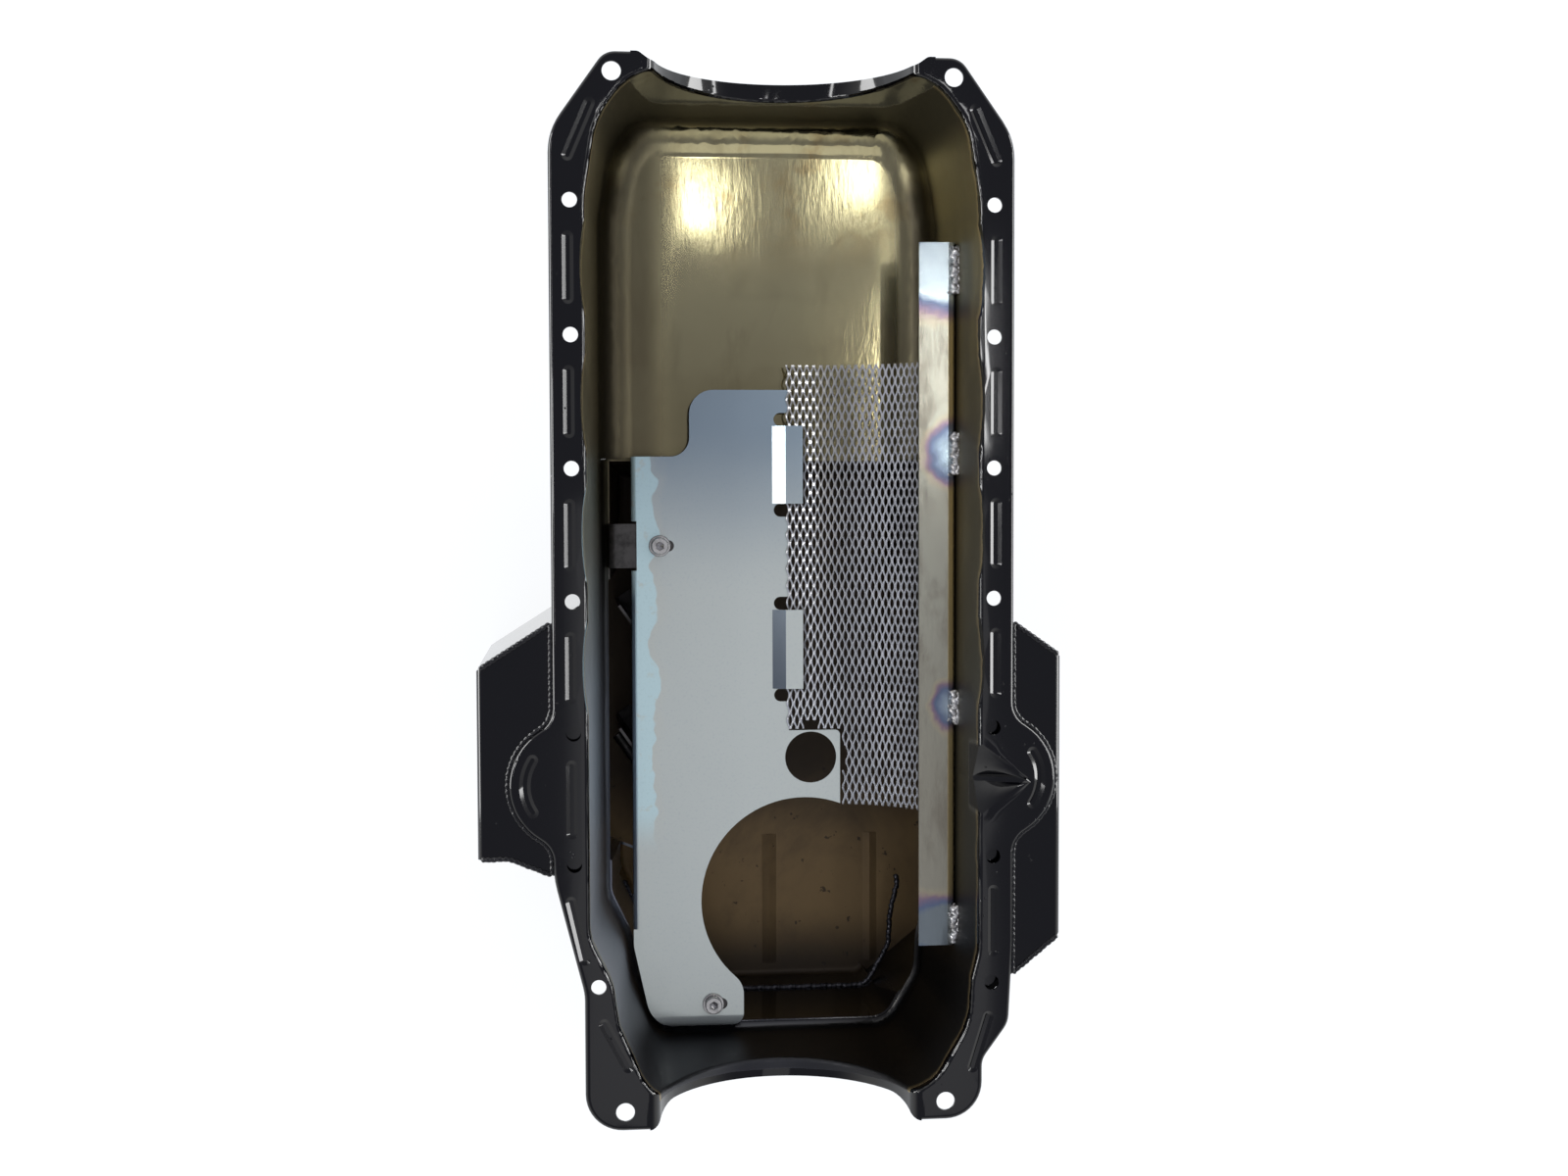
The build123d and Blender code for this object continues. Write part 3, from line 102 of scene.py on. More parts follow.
# ---------------------------------------------------------------- shader building
class Graph:
    """Builds the nodes of one procedural material."""

    def __init__(self, name: str) -> None:
        """Starts an empty material.

        Args:
            name: the material's name.
        """
        self.material = bpy.data.materials.new(name)
        self.material.use_nodes = True
        self.tree = self.material.node_tree
        self.tree.nodes.clear()
        coordinates = self.tree.nodes.new("ShaderNodeTexCoord")
        self.place: Socket = coordinates.outputs["Object"]
        self.normal: Socket = coordinates.outputs["Normal"]

    def feed(self, socket: Socket, value: object) -> None:
        """Sets a socket from a link or a plain value."""
        if isinstance(value, bpy.types.NodeSocket):
            self.tree.links.new(value, socket)
        elif isinstance(value, tuple) and len(value) == 3 and socket.type == "RGBA":
            socket.default_value = (*value, 1.0)
        else:
            socket.default_value = value

    def math(self, operation: str, first: object, second: object = 0.0) -> Socket:
        """Adds a Math node.

        Args:
            operation: Blender's name of the operation.
            first: first value or link.
            second: second value or link.

        Returns:
            The node's output.
        """
        node = self.tree.nodes.new("ShaderNodeMath")
        node.operation = operation
        self.feed(node.inputs[0], first)
        self.feed(node.inputs[1], second)
        return node.outputs[0]

    def step(self, value: object, low: float, high: float) -> Socket:
        """Smooth step from 0 at low to 1 at high; low may exceed high for a falling step."""
        node = self.tree.nodes.new("ShaderNodeMapRange")
        node.interpolation_type = "SMOOTHSTEP"
        flipped = low > high
        self.feed(node.inputs["Value"], value)
        self.feed(node.inputs["From Min"], min(low, high))
        self.feed(node.inputs["From Max"], max(low, high))
        self.feed(node.inputs["To Min"], 1.0 if flipped else 0.0)
        self.feed(node.inputs["To Max"], 0.0 if flipped else 1.0)
        return node.outputs["Result"]

    def spread(self, value: object, low: float, high: float) -> Socket:
        """Maps 0..1 linearly to low..high."""
        node = self.tree.nodes.new("ShaderNodeMapRange")
        self.feed(node.inputs["Value"], value)
        self.feed(node.inputs["To Min"], low)
        self.feed(node.inputs["To Max"], high)
        return node.outputs["Result"]

    def mix(self, factor: object, first: object, second: object) -> Socket:
        """Colour mix: first where the factor is 0, second where it is 1."""
        node = self.tree.nodes.new("ShaderNodeMix")
        node.data_type = "RGBA"
        self.feed(node.inputs["Factor"], factor)
        self.feed(node.inputs[MIX_A], first)
        self.feed(node.inputs[MIX_B], second)
        return node.outputs[MIX_RESULT]

    def ramp(self, value: object, stops: Stops) -> Socket:
        """Colour along a row of stops, each a position from 0 to 1 and a colour."""
        node = self.tree.nodes.new("ShaderNodeValToRGB")
        self.feed(node.inputs[0], value)
        elements = node.color_ramp.elements
        while len(elements) < len(stops):
            elements.new(1.0)
        for element, (position, color) in zip(elements, stops):
            element.position = position
            element.color = (*color, 1.0)
        return node.outputs[0]

    def product(self, *values: object) -> Socket:
        """Product of two or more values or links."""
        result = values[0]
        for value in values[1:]:
            result = self.math("MULTIPLY", result, value)
        return result

    def wander(self, scale: float, reach: float, detail: float = 3.0) -> Socket:
        """Noise around 0 that shifts a boundary by up to about half the reach either way."""
        centred = self.math("SUBTRACT", self.noise(scale, detail), 0.5)
        return self.math("MULTIPLY", centred, reach)

    def axis(self, name: str, source: object = None) -> Socket:
        """One coordinate, "X", "Y" or "Z", of a vector; of the object place unless given."""
        node = self.tree.nodes.new("ShaderNodeSeparateXYZ")
        self.feed(node.inputs[0], self.place if source is None else source)
        return node.outputs[name]

    def vector(self, x: object, y: object, z: object) -> Socket:
        """Vector made of three values or links."""
        node = self.tree.nodes.new("ShaderNodeCombineXYZ")
        for socket, value in zip(node.inputs, (x, y, z)):
            self.feed(socket, value)
        return node.outputs[0]

    def vector_math(self, operation: str, first: object, second: object) -> bpy.types.Node:
        """Adds a Vector Math node and returns it."""
        node = self.tree.nodes.new("ShaderNodeVectorMath")
        node.operation = operation
        self.feed(node.inputs[0], first)
        self.feed(node.inputs[1], second)
        return node

    def noise(
        self,
        scale: float,
        detail: float = 4.0,
        roughness: float = 0.55,
        stretch: Point3 = (1.0, 1.0, 1.0),
        distortion: float = 0.0,
    ) -> Socket:
        """Fractal noise over the object's place.

        Args:
            scale: features per metre.
            detail: octaves.
            roughness: weight of the fine octaves.
            stretch: factor on each axis, small values draw the pattern out along it.
            distortion: swirl of the pattern.

        Returns:
            The noise value, around 0.5.
        """
        mapping = self.tree.nodes.new("ShaderNodeMapping")
        mapping.inputs["Scale"].default_value = stretch
        self.feed(mapping.inputs["Vector"], self.place)
        node = self.tree.nodes.new("ShaderNodeTexNoise")
        self.feed(node.inputs["Vector"], mapping.outputs[0])
        node.inputs["Scale"].default_value = scale
        node.inputs["Detail"].default_value = detail
        node.inputs["Roughness"].default_value = roughness
        node.inputs["Distortion"].default_value = distortion
        return node.outputs["Fac"]

    def cells(self, scale: float) -> Socket:
        """Distance to the nearest of scattered points, 0 at each point."""
        node = self.tree.nodes.new("ShaderNodeTexVoronoi")
        self.feed(node.inputs["Vector"], self.place)
        node.inputs["Scale"].default_value = scale
        return node.outputs["Distance"]

    def without(self, value: object) -> Socket:
        """One minus a value or link."""
        return self.math("SUBTRACT", 1.0, value)

    def depth(self, most: float, mask: object, least: float = 0.1) -> Socket:
        """A bump distance that is the most where the mask is 1 and a small part of it where it is 0."""
        return self.product(self.spread(mask, least, 1.0), most)

    def bump(self, height: object, strength: float, distance: object, below: object = None) -> Socket:
        """Bump from a height link, stacked on another bump when one is given."""
        node = self.tree.nodes.new("ShaderNodeBump")
        node.inputs["Strength"].default_value = strength
        self.feed(node.inputs["Distance"], distance)
        self.feed(node.inputs["Height"], height)
        if below is not None:
            self.feed(node.inputs["Normal"], below)
        return node.outputs[0]

    def surface(self, **inputs: object) -> None:
        """Wires a Principled shader to the output.

        Args:
            inputs: socket names with underscores for spaces, and their values or links.
        """
        shader = self.tree.nodes.new("ShaderNodeBsdfPrincipled")
        for name, value in inputs.items():
            self.feed(shader.inputs[name.replace("_", " ")], value)
        output = self.tree.nodes.new("ShaderNodeOutputMaterial")
        self.tree.links.new(shader.outputs[0], output.inputs["Surface"])


def near(graph: Graph, x: float, y: float, radius: float) -> Socket:
    """1 at a plan position, falling smoothly to 0 at the radius; height is ignored."""
    flat = graph.vector(graph.axis("X"), graph.axis("Y"), 0.0)
    away = graph.vector_math("DISTANCE", flat, (x, y, 0.0)).outputs["Value"]
    return graph.step(away, radius, 0.0)


# ---------------------------------------------------------------- finishes
@dataclass(frozen=True)
class PanSheetFinish:
    """Pressed steel: bare and oil-brown inside with painted shade on its walls, bends and rear, black gloss
    paint outside and over the rail.

    A field whose name ends in _x, _y or _z is a stretch of that coordinate over which its tone comes in,
    from none at the first value to all at the second.
    """

    trough: Color = (0.61, 0.55, 0.31)
    trough_dark: Color = (0.34, 0.285, 0.15)
    wall: Color = (0.115, 0.10, 0.068)
    stain: Color = (0.42, 0.27, 0.09)
    bend: Color = (0.05, 0.044, 0.032)
    rear_reflection_grey: Color = (0.46, 0.49, 0.55)
    rear_right_shade: Color = (0.10, 0.10, 0.09)
    rear_shade_black: Color = (0.028, 0.027, 0.028)
    gold: Color = (0.42, 0.33, 0.18)
    paint: Color = (0.0004, 0.0004, 0.0012)
    paint_ior: float = 1.55
    paint_rough: float = 0.07
    floor_rough: Span = (0.08, 0.115)
    wall_roughening: float = 0.34
    rail_z: float = 190.5 * MM
    paint_drop: float = 4.0 * MM
    lip_y: float = 270.6 * MM
    edge_wander: float = 9.0 * MM
    pocket: Point2 = (118.0 * MM, -99.0 * MM)
    pocket_tip: Point2 = (133.0 * MM, -101.3 * MM)
    pocket_r: float = 30.0 * MM
    pocket_depth: Span = (22.0 * MM, 20.0 * MM)
    fold_turns: float = 4.2
    fold_fan: Span = (0.85, 0.60)
    fold_height: float = 1.6 * MM
    core: Point2 = (120.0 * MM, 150.0 * MM)
    trough_middle_x: float = 8.0 * MM
    trough_sides: Span = (54.0 * MM, 80.0 * MM)
    side_share: float = 0.85
    wall_foot_z: Span = (82.5 * MM, 89.0 * MM)
    front_rise: float = 7.0 * MM
    front_bend_y: Span = (190.0 * MM, 220.0 * MM)
    corner_y: Span = (170.0 * MM, 240.0 * MM)
    shaded_y: Span = (180.0 * MM, 100.0 * MM)
    bend_foot_z: Span = (83.0 * MM, 85.5 * MM)
    bend_top_z: Span = (118.0 * MM, 94.0 * MM)
    bend_end_y: Span = (245.0 * MM, 225.0 * MM)
    brow_z: Span = (83.0 * MM, 93.0 * MM)
    brow_y: Span = (235.0 * MM, 255.0 * MM)
    rear_y: Span = (60.0 * MM, -100.0 * MM)
    right_x: Span = (0.0, 80.0 * MM)
    tail_y: Span = (-170.0 * MM, -235.0 * MM)
    tail_slant: float = -0.35
    gold_drop: Span = (8.5 * MM, 4.6 * MM)

    def inside(self, graph: Graph) -> Socket:
        """1 on faces that look at the pan's hollow, 0 on outer faces.

        The face's normal is compared with the way to a line that runs along the hollow's middle.
        """
        core_y, core_z = self.core
        y = graph.math("MINIMUM", graph.math("MAXIMUM", graph.axis("Y"), -core_y), core_y)
        way = graph.vector_math("SUBTRACT", graph.vector(0.0, y, core_z), graph.place).outputs["Vector"]
        facing = graph.vector_math("DOT_PRODUCT", graph.normal, way).outputs["Value"]
        return graph.step(facing, -0.5 * MM, 0.5 * MM)

    def ragged_height(self, graph: Graph) -> Socket:
        """Height with noise added, so that an edge at a fixed height comes out ragged."""
        return graph.math("ADD", graph.axis("Z"), graph.wander(50.0, self.edge_wander, 4.0))

    def bare(self, graph: Graph) -> Socket:
        """1 where the steel is bare: inside, below a ragged paint edge and between the seal lips."""
        paint_z = self.rail_z - self.paint_drop
        below_rail = graph.step(self.ragged_height(graph), paint_z, paint_z - 0.5 * MM)
        length = graph.math("ADD", graph.math("ABSOLUTE", graph.axis("Y")), graph.wander(70.0, 1.0 * MM))
        within_lips = graph.step(length, self.lip_y + 0.5 * MM, self.lip_y)
        by_pocket = graph.step(near(graph, *self.pocket, self.pocket_r), 0.05, 0.2)
        low, high = (self.rail_z - depth for depth in self.pocket_depth)
        in_pocket = graph.product(by_pocket, graph.step(graph.axis("Z"), low, high))
        return graph.product(self.inside(graph), below_rail, within_lips, graph.without(in_pocket))

    def off_floor(self, graph: Graph) -> Socket:
        """1 on the walls and along the trough's sides, 0 on the middle of the trough's floor.

        The walls begin where the height leaves the floor's, a little higher at the front bend.
        """
        front = graph.product(graph.step(graph.axis("Y"), *self.front_bend_y), self.front_rise)
        risen = graph.step(graph.math("SUBTRACT", graph.axis("Z"), front), *self.wall_foot_z)
        offset = graph.math("ABSOLUTE", graph.math("SUBTRACT", graph.axis("X"), self.trough_middle_x))
        sides = graph.product(graph.step(offset, *self.trough_sides), self.side_share)
        return graph.math("MAXIMUM", risen, sides)

    def folds(self, graph: Graph) -> Socket:
        """Height of the creases that run out from the pocket's tip, as a share of the deepest."""
        x = graph.math("SUBTRACT", self.pocket_tip[0], graph.axis("X"))
        y = graph.math("SUBTRACT", graph.axis("Y"), self.pocket_tip[1])
        turn = graph.math("ADD", graph.math("ARCTAN2", y, x), graph.wander(40.0, 0.25))
        ridge = graph.math("ABSOLUTE", graph.math("SINE", graph.product(turn, self.fold_turns)))
        within = graph.step(graph.math("ABSOLUTE", turn), *self.fold_fan)
        return graph.product(ridge, within, near(graph, *self.pocket, self.pocket_r))

    def oiled_and_shaded_tone(self, graph: Graph) -> Socket:
        """Olive of the trough, with its broad clouds, brown corners, streaks and fine scratches, and a
        painted shadow of the tray towards the rear.
        """
        y = graph.axis("Y")
        broad = graph.noise(8.0, 5.0, 0.6, (1.0, 0.7, 1.0), 0.6)
        tone = graph.mix(graph.step(broad, 0.34, 0.62), self.trough_dark, self.trough)
        patches = graph.step(graph.noise(24.0, 4.0, 0.65), 0.5, 0.66)
        tone = graph.mix(graph.product(graph.step(y, *self.corner_y), patches, 0.5), tone, self.stain)
        streaks = graph.step(graph.noise(30.0, 5.0, 0.65, (1.0, 0.25, 1.0), 0.5), 0.46, 0.66)
        tone = graph.mix(graph.product(streaks, 0.45), tone, self.trough_dark)
        scratches = graph.step(graph.noise(130.0, 4.0, 0.7, (1.0, 0.05, 0.4)), 0.62, 0.72)
        tone = graph.mix(graph.product(scratches, 0.3), tone, self.trough)
        # Darker towards the rear of the trough: painted shadow of the tray.
        shaded = graph.step(graph.math("ADD", y, graph.wander(20.0, 50.0 * MM)), *self.shaded_y)
        return graph.mix(graph.product(shaded, 0.5), tone, self.trough_dark)

    def steel_tone(self, graph: Graph) -> Socket:
        """Colour of the bare steel: olive in the trough, darker on walls and bends as painted shade, and to
        the rear a light grey painted reflection on the left, darker painted shade on the right and nearly
        black painted shade at the tail.
        """
        x, y, height = (graph.axis(name) for name in "XYZ")
        # The walls and the trough's sides take the dark wall colour: painted shade.
        tone = graph.mix(graph.product(self.off_floor(graph), 0.88), self.oiled_and_shaded_tone(graph), self.wall)
        # Dark bands in the low side bends and along the front brow: painted shade in the radii.
        low = graph.product(graph.step(height, *self.bend_foot_z), graph.step(height, *self.bend_top_z))
        side_bend_shade = graph.product(low, graph.step(y, *self.bend_end_y), 0.85)
        brow_shade = graph.product(graph.step(height, *self.brow_z), graph.step(y, *self.brow_y), 0.9)
        tone = graph.mix(graph.math("MAXIMUM", side_bend_shade, brow_shade), tone, self.bend)
        # To the rear: a light grey painted reflection on the left, darker painted shade on the right, and
        # nearly black painted shade at the tail.
        rear_light_and_shade = graph.mix(graph.step(x, *self.right_x), self.rear_reflection_grey, self.rear_right_shade)
        tone = graph.mix(graph.product(graph.step(y, *self.rear_y), 0.92), tone, rear_light_and_shade)
        tail_shade = graph.step(graph.math("ADD", y, graph.product(x, self.tail_slant)), *self.tail_y)
        tone = graph.mix(graph.product(tail_shade, 0.9), tone, self.rear_shade_black)
        low, high = (self.rail_z - drop for drop in self.gold_drop)
        rim = graph.step(self.ragged_height(graph), low, high)
        return graph.mix(graph.product(rim, 0.7), tone, self.gold)

    def build(self) -> bpy.types.Material:
        """Makes the material."""
        graph = Graph("pan_sheet")
        bare, off_floor = self.bare(graph), self.off_floor(graph)
        smear = graph.noise(16.0, 5.0, 0.6, (1.0, 0.4, 1.0), 0.5)
        roughening = graph.product(off_floor, self.wall_roughening)
        bare_rough = graph.math("ADD", graph.spread(smear, *self.floor_rough), roughening)
        rougher = graph.product(bare, graph.math("SUBTRACT", bare_rough, self.paint_rough))
        level = graph.product(bare, graph.without(off_floor))
        relief = graph.bump(graph.noise(9.0, 1.0, 0.4), 0.35, graph.depth(3.0 * MM, level))
        relief = graph.bump(self.folds(graph), 0.8, self.fold_height, relief)
        grain = graph.noise(380.0, 3.0, 0.6, (1.0, 0.2, 1.0))
        relief = graph.bump(grain, 0.10, graph.product(bare, 0.3 * MM), relief)
        specks = graph.step(graph.cells(230.0), 0.16, 0.05)
        chosen = graph.step(graph.noise(60.0, 2.0), 0.6, 0.66)
        drops = graph.product(specks, chosen, graph.without(bare))
        graph.surface(
            Base_Color=graph.mix(bare, self.paint, self.steel_tone(graph)),
            Metallic=bare,
            Roughness=graph.math("ADD", self.paint_rough, rougher),
            IOR=self.paint_ior,
            Normal=graph.bump(drops, 0.5, 0.5 * MM, relief),
        )
        return graph.material


@dataclass(frozen=True)
class FloorSteelFinish:
    """Sump floor: brown bare steel with dark specks and a painted shadow of the tray above, black paint
    below.
    """

    brown: Color = (0.25, 0.165, 0.07)
    dull: Color = (0.12, 0.082, 0.04)
    dark: Color = (0.03, 0.022, 0.014)
    paint: Color = (0.0025, 0.0025, 0.0035)
    upward: Span = (0.02, 0.12)
    rear_y: Span = (-205.0 * MM, -245.0 * MM)
    tray_shadow_y: Span = (-165.0 * MM, -115.0 * MM)
    paint_rough: float = 0.12
    bare_roughening: float = 0.34

    def build(self) -> bpy.types.Material:
        """Makes the material."""
        graph = Graph("sump_floor_steel")
        up = graph.step(graph.axis("Z", graph.normal), *self.upward)
        broad = graph.noise(12.0, 6.0, 0.6, (1.0, 0.6, 1.0), 0.8)
        tone = graph.mix(graph.step(broad, 0.38, 0.72), self.brown, self.dull)
        specks = graph.step(graph.noise(150.0, 3.0, 0.6), 0.66, 0.71)
        tone = graph.mix(graph.product(specks, 0.8), tone, self.dark)
        chosen = graph.step(graph.noise(22.0), 0.5, 0.6)
        pits = graph.product(graph.step(graph.cells(70.0), 0.10, 0.06), chosen)
        tone = graph.mix(graph.product(pits, 0.9), tone, self.dark)
        # Darker towards the rear, and darker in the front part under the tray as a painted shadow of the
        # tray.
        rear = graph.product(graph.step(graph.axis("Y"), *self.rear_y), 0.9)
        tray_shadow = graph.product(graph.step(graph.axis("Y"), *self.tray_shadow_y), 0.85)
        tone = graph.mix(graph.math("MAXIMUM", rear, tray_shadow), tone, self.dark)
        graph.surface(
            Base_Color=graph.mix(up, self.paint, tone),
            Metallic=graph.product(up, 0.5),
            Roughness=graph.math("ADD", self.paint_rough, graph.product(up, self.bare_roughening)),
            Normal=graph.bump(graph.noise(45.0, 4.0), 0.2, 1.6 * MM),
        )
        return graph.material


@dataclass(frozen=True)
class PlatedFinish:
    """Cold grey plated steel of the windage tray, stained pale blue along its left edge, with painted
    shade: darker blue towards the front, on the rear louvre's slope and underneath.
    """

    grey: Color = (0.53, 0.57, 0.53)
    mottle_and_front_shade_blue: Color = (0.25, 0.33, 0.39)
    stain_blue: Color = (0.55, 0.76, 0.78)
    straw: Color = (0.56, 0.56, 0.48)
    under: Color = (0.16, 0.16, 0.16)
    louvre_shade_blue: Color = (0.045, 0.065, 0.10)
    stain_x: float = -66.0 * MM
    stain_edge: float = 0.6 * MM
    halo_width: float = 8.0 * MM
    stain_end_y: Span = (-155.0 * MM, -125.0 * MM)
    front_y: Span = (-10.0 * MM, 100.0 * MM)
    louvre_shade_y: Span = (10.0 * MM, -10.0 * MM)
    metallic: float = 0.6
    roughness: Span = (0.16, 0.23)

    def build(self) -> bpy.types.Material:
        """Makes the material."""
        graph = Graph("plated_tray")
        x = graph.math("ADD", graph.axis("X"), graph.wander(45.0, 22.0 * MM, 2.0))
        length = graph.step(graph.axis("Y"), *self.stain_end_y)
        edge = graph.step(x, self.stain_x + self.stain_edge, self.stain_x - self.stain_edge)
        stain = graph.product(edge, length)
        halo = graph.product(graph.step(x, self.stain_x + self.halo_width, self.stain_x), length)
        # Darker blue towards the front: painted shade.
        front = graph.step(graph.math("ADD", graph.axis("Y"), graph.wander(12.0, 30.0 * MM)), *self.front_y)
        tone = graph.mix(graph.product(front, 0.85), self.grey, self.mottle_and_front_shade_blue)
        tone = graph.mix(graph.product(halo, 0.25), tone, self.straw)
        tone = graph.mix(graph.product(stain, 0.8), tone, self.stain_blue)
        spots = graph.step(graph.noise(130.0, 4.0, 0.6), 0.58, 0.70)
        tone = graph.mix(graph.product(spots, stain, 0.55), tone, self.straw)
        mottle = graph.noise(700.0, 2.0, 0.5)
        tone = graph.mix(graph.product(graph.step(mottle, 0.5, 0.8), 0.16), tone, self.mottle_and_front_shade_blue)
        # The rear louvre's slope, facing left, darkens: painted shade.
        slope = graph.step(graph.axis("X", graph.normal), -0.3, -0.4)
        louvre_slope_shade = graph.product(slope, graph.step(graph.axis("Y"), *self.louvre_shade_y), 0.85)
        tone = graph.mix(louvre_slope_shade, tone, self.louvre_shade_blue)
        # Downward faces take the dark under colour: painted shade on the tray's underside.
        facing_up = graph.step(graph.axis("Z", graph.normal), -0.3, 0.1)
        graph.surface(
            Base_Color=graph.mix(facing_up, self.under, tone),
            Metallic=self.metallic,
            Roughness=graph.spread(graph.noise(30.0, 4.0), *self.roughness),
            Normal=graph.bump(mottle, 0.05, 0.1 * MM),
        )
        return graph.material


@dataclass(frozen=True)
class HeatZone:
    """Heat-coloured patch around one weld, an ellipse in plan.

    The core's colour fills that part of the way out before the blue ring begins.
    """

    y: float
    reach_x: float
    reach_y: float
    core: Color
    core_part: float = 0.58


@dataclass(frozen=True)
class HeatTintedFinish:
    """Mill-finish flat bar with blue, purple and straw heat colours around its welds."""

    steel: Color = (0.38, 0.375, 0.305)
    scale_dark: Color = (0.23, 0.21, 0.165)
    blue: Color = (0.085, 0.13, 0.245)
    purple: Color = (0.23, 0.14, 0.22)
    straw: Color = (0.50, 0.40, 0.22)
    fold_gold: Color = (0.62, 0.47, 0.20)
    weld_x: float = 99.0 * MM
    fold_x: float = 95.6 * MM
    fold_edge: float = 1.2 * MM
    rear_y: Span = (30.0 * MM, -120.0 * MM)
    ring_stops: tuple[float, ...] = (0.36, 0.455, 0.56)
    zone_fade: Span = (1.25, 0.80)
    metallic: float = 0.8
    roughness: Span = (0.17, 0.27)
    zones: tuple[HeatZone, ...] = (
        HeatZone(179.0 * MM, 52.0 * MM, 28.0 * MM, (0.58, 0.68, 0.72)),
        HeatZone(77.0 * MM, 17.0 * MM, 19.0 * MM, (0.52, 0.66, 0.74), 0.10),
        HeatZone(-65.0 * MM, 13.0 * MM, 14.0 * MM, (0.40, 0.50, 0.58), 0.10),
        HeatZone(-190.0 * MM, 45.0 * MM, 20.0 * MM, (0.17, 0.21, 0.24)),
    )

    def add_zone(self, graph: Graph, zone: HeatZone, x: Socket, y: Socket, tone: Socket) -> Socket:
        """Adds one patch's rings to the bar's colour.

        The reach is the distance from the weld over the patch's size, 1 on its ellipse. The ramp shows
        half of it.

        Args:
            graph: the material.
            zone: the patch.
            x: distance from the line of the welds, with noise.
            y: place along the bar, with noise.
            tone: the colour so far.

        Returns:
            The colour with the patch on it.
        """
        across = graph.product(x, 1.0 / zone.reach_x)
        along = graph.product(graph.math("SUBTRACT", y, zone.y), 1.0 / zone.reach_y)
        away = graph.vector(across, along, 0.0)
        reach = graph.vector_math("LENGTH", away, (0.0, 0.0, 0.0)).outputs["Value"]
        rings = tuple(zip(self.ring_stops, (self.blue, self.purple, self.straw)))
        core = ((0.0, zone.core), (zone.core_part / 2, zone.core))
        tint = graph.ramp(graph.product(reach, 0.5), (*core, *rings))
        return graph.mix(graph.product(graph.step(reach, *self.zone_fade), 0.85), tone, tint)

    def build(self) -> bpy.types.Material:
        """Makes the material."""
        graph = Graph("heat_tinted_bar")
        mill = graph.noise(48.0, 6.0, 0.68, (1.0, 0.3, 1.0), 0.3)
        tone = graph.mix(graph.step(mill, 0.42, 0.66), self.steel, self.scale_dark)
        rear = graph.product(graph.step(graph.axis("Y"), *self.rear_y), 0.55)
        tone = graph.mix(rear, tone, self.scale_dark)
        on_fold = graph.step(graph.axis("X"), self.fold_x, self.fold_x + self.fold_edge)
        tone = graph.mix(graph.product(on_fold, 0.75), tone, self.fold_gold)
        x_noisy = graph.math("ADD", graph.axis("X"), graph.wander(90.0, 9.0 * MM))
        from_weld = graph.math("SUBTRACT", x_noisy, self.weld_x)
        y_noisy = graph.math("ADD", graph.axis("Y"), graph.wander(60.0, 13.0 * MM, 4.0))
        for zone in self.zones:
            tone = self.add_zone(graph, zone, from_weld, y_noisy, tone)
        graph.surface(
            Base_Color=tone,
            Metallic=self.metallic,
            Roughness=graph.spread(mill, *self.roughness),
            Normal=graph.bump(graph.noise(260.0, 4.0, 0.6, (1.0, 0.3, 1.0)), 0.12, 0.4 * MM),
        )
        return graph.material


@dataclass(frozen=True)
class SteelFinish:
    """Plain steel with its own colour, roughness and grain."""

    name: str
    color: Color
    dark: Color
    roughness: float
    grain: float = 300.0
    relief: float = 0.1
    metallic: float = 0.9

    def build(self) -> bpy.types.Material:
        """Makes the material."""
        graph = Graph(self.name)
        spread = graph.noise(self.grain / 3, 4.0, 0.6)
        graph.surface(
            Base_Color=graph.mix(graph.step(spread, 0.42, 0.72), self.color, self.dark),
            Metallic=self.metallic,
            Roughness=graph.spread(spread, self.roughness * 0.75, self.roughness * 1.25),
            Normal=graph.bump(graph.noise(self.grain, 3.0), self.relief, 0.4 * MM),
        )
        return graph.material


@dataclass(frozen=True)
class StudioFloorFinish:
    """White studio floor that keeps a soft, slightly blue shadow."""

    diffuse: Color = (0.125, 0.14, 0.15)
    glow: float = 0.84

    def build(self) -> bpy.types.Material:
        """Makes the material."""
        graph = Graph("studio_floor")
        nodes, links = graph.tree.nodes, graph.tree.links
        diffuse = nodes.new("ShaderNodeBsdfDiffuse")
        diffuse.inputs["Color"].default_value = (*self.diffuse, 1.0)
        glow = nodes.new("ShaderNodeEmission")
        paths = nodes.new("ShaderNodeLightPath")
        seen = graph.math("MAXIMUM", paths.outputs["Is Camera Ray"], paths.outputs["Is Glossy Ray"])
        graph.feed(glow.inputs["Strength"], graph.product(seen, self.glow))
        both = nodes.new("ShaderNodeAddShader")
        links.new(diffuse.outputs[0], both.inputs[0])
        links.new(glow.outputs[0], both.inputs[1])
        output = nodes.new("ShaderNodeOutputMaterial")
        links.new(both.outputs[0], output.inputs["Surface"])
        return graph.material


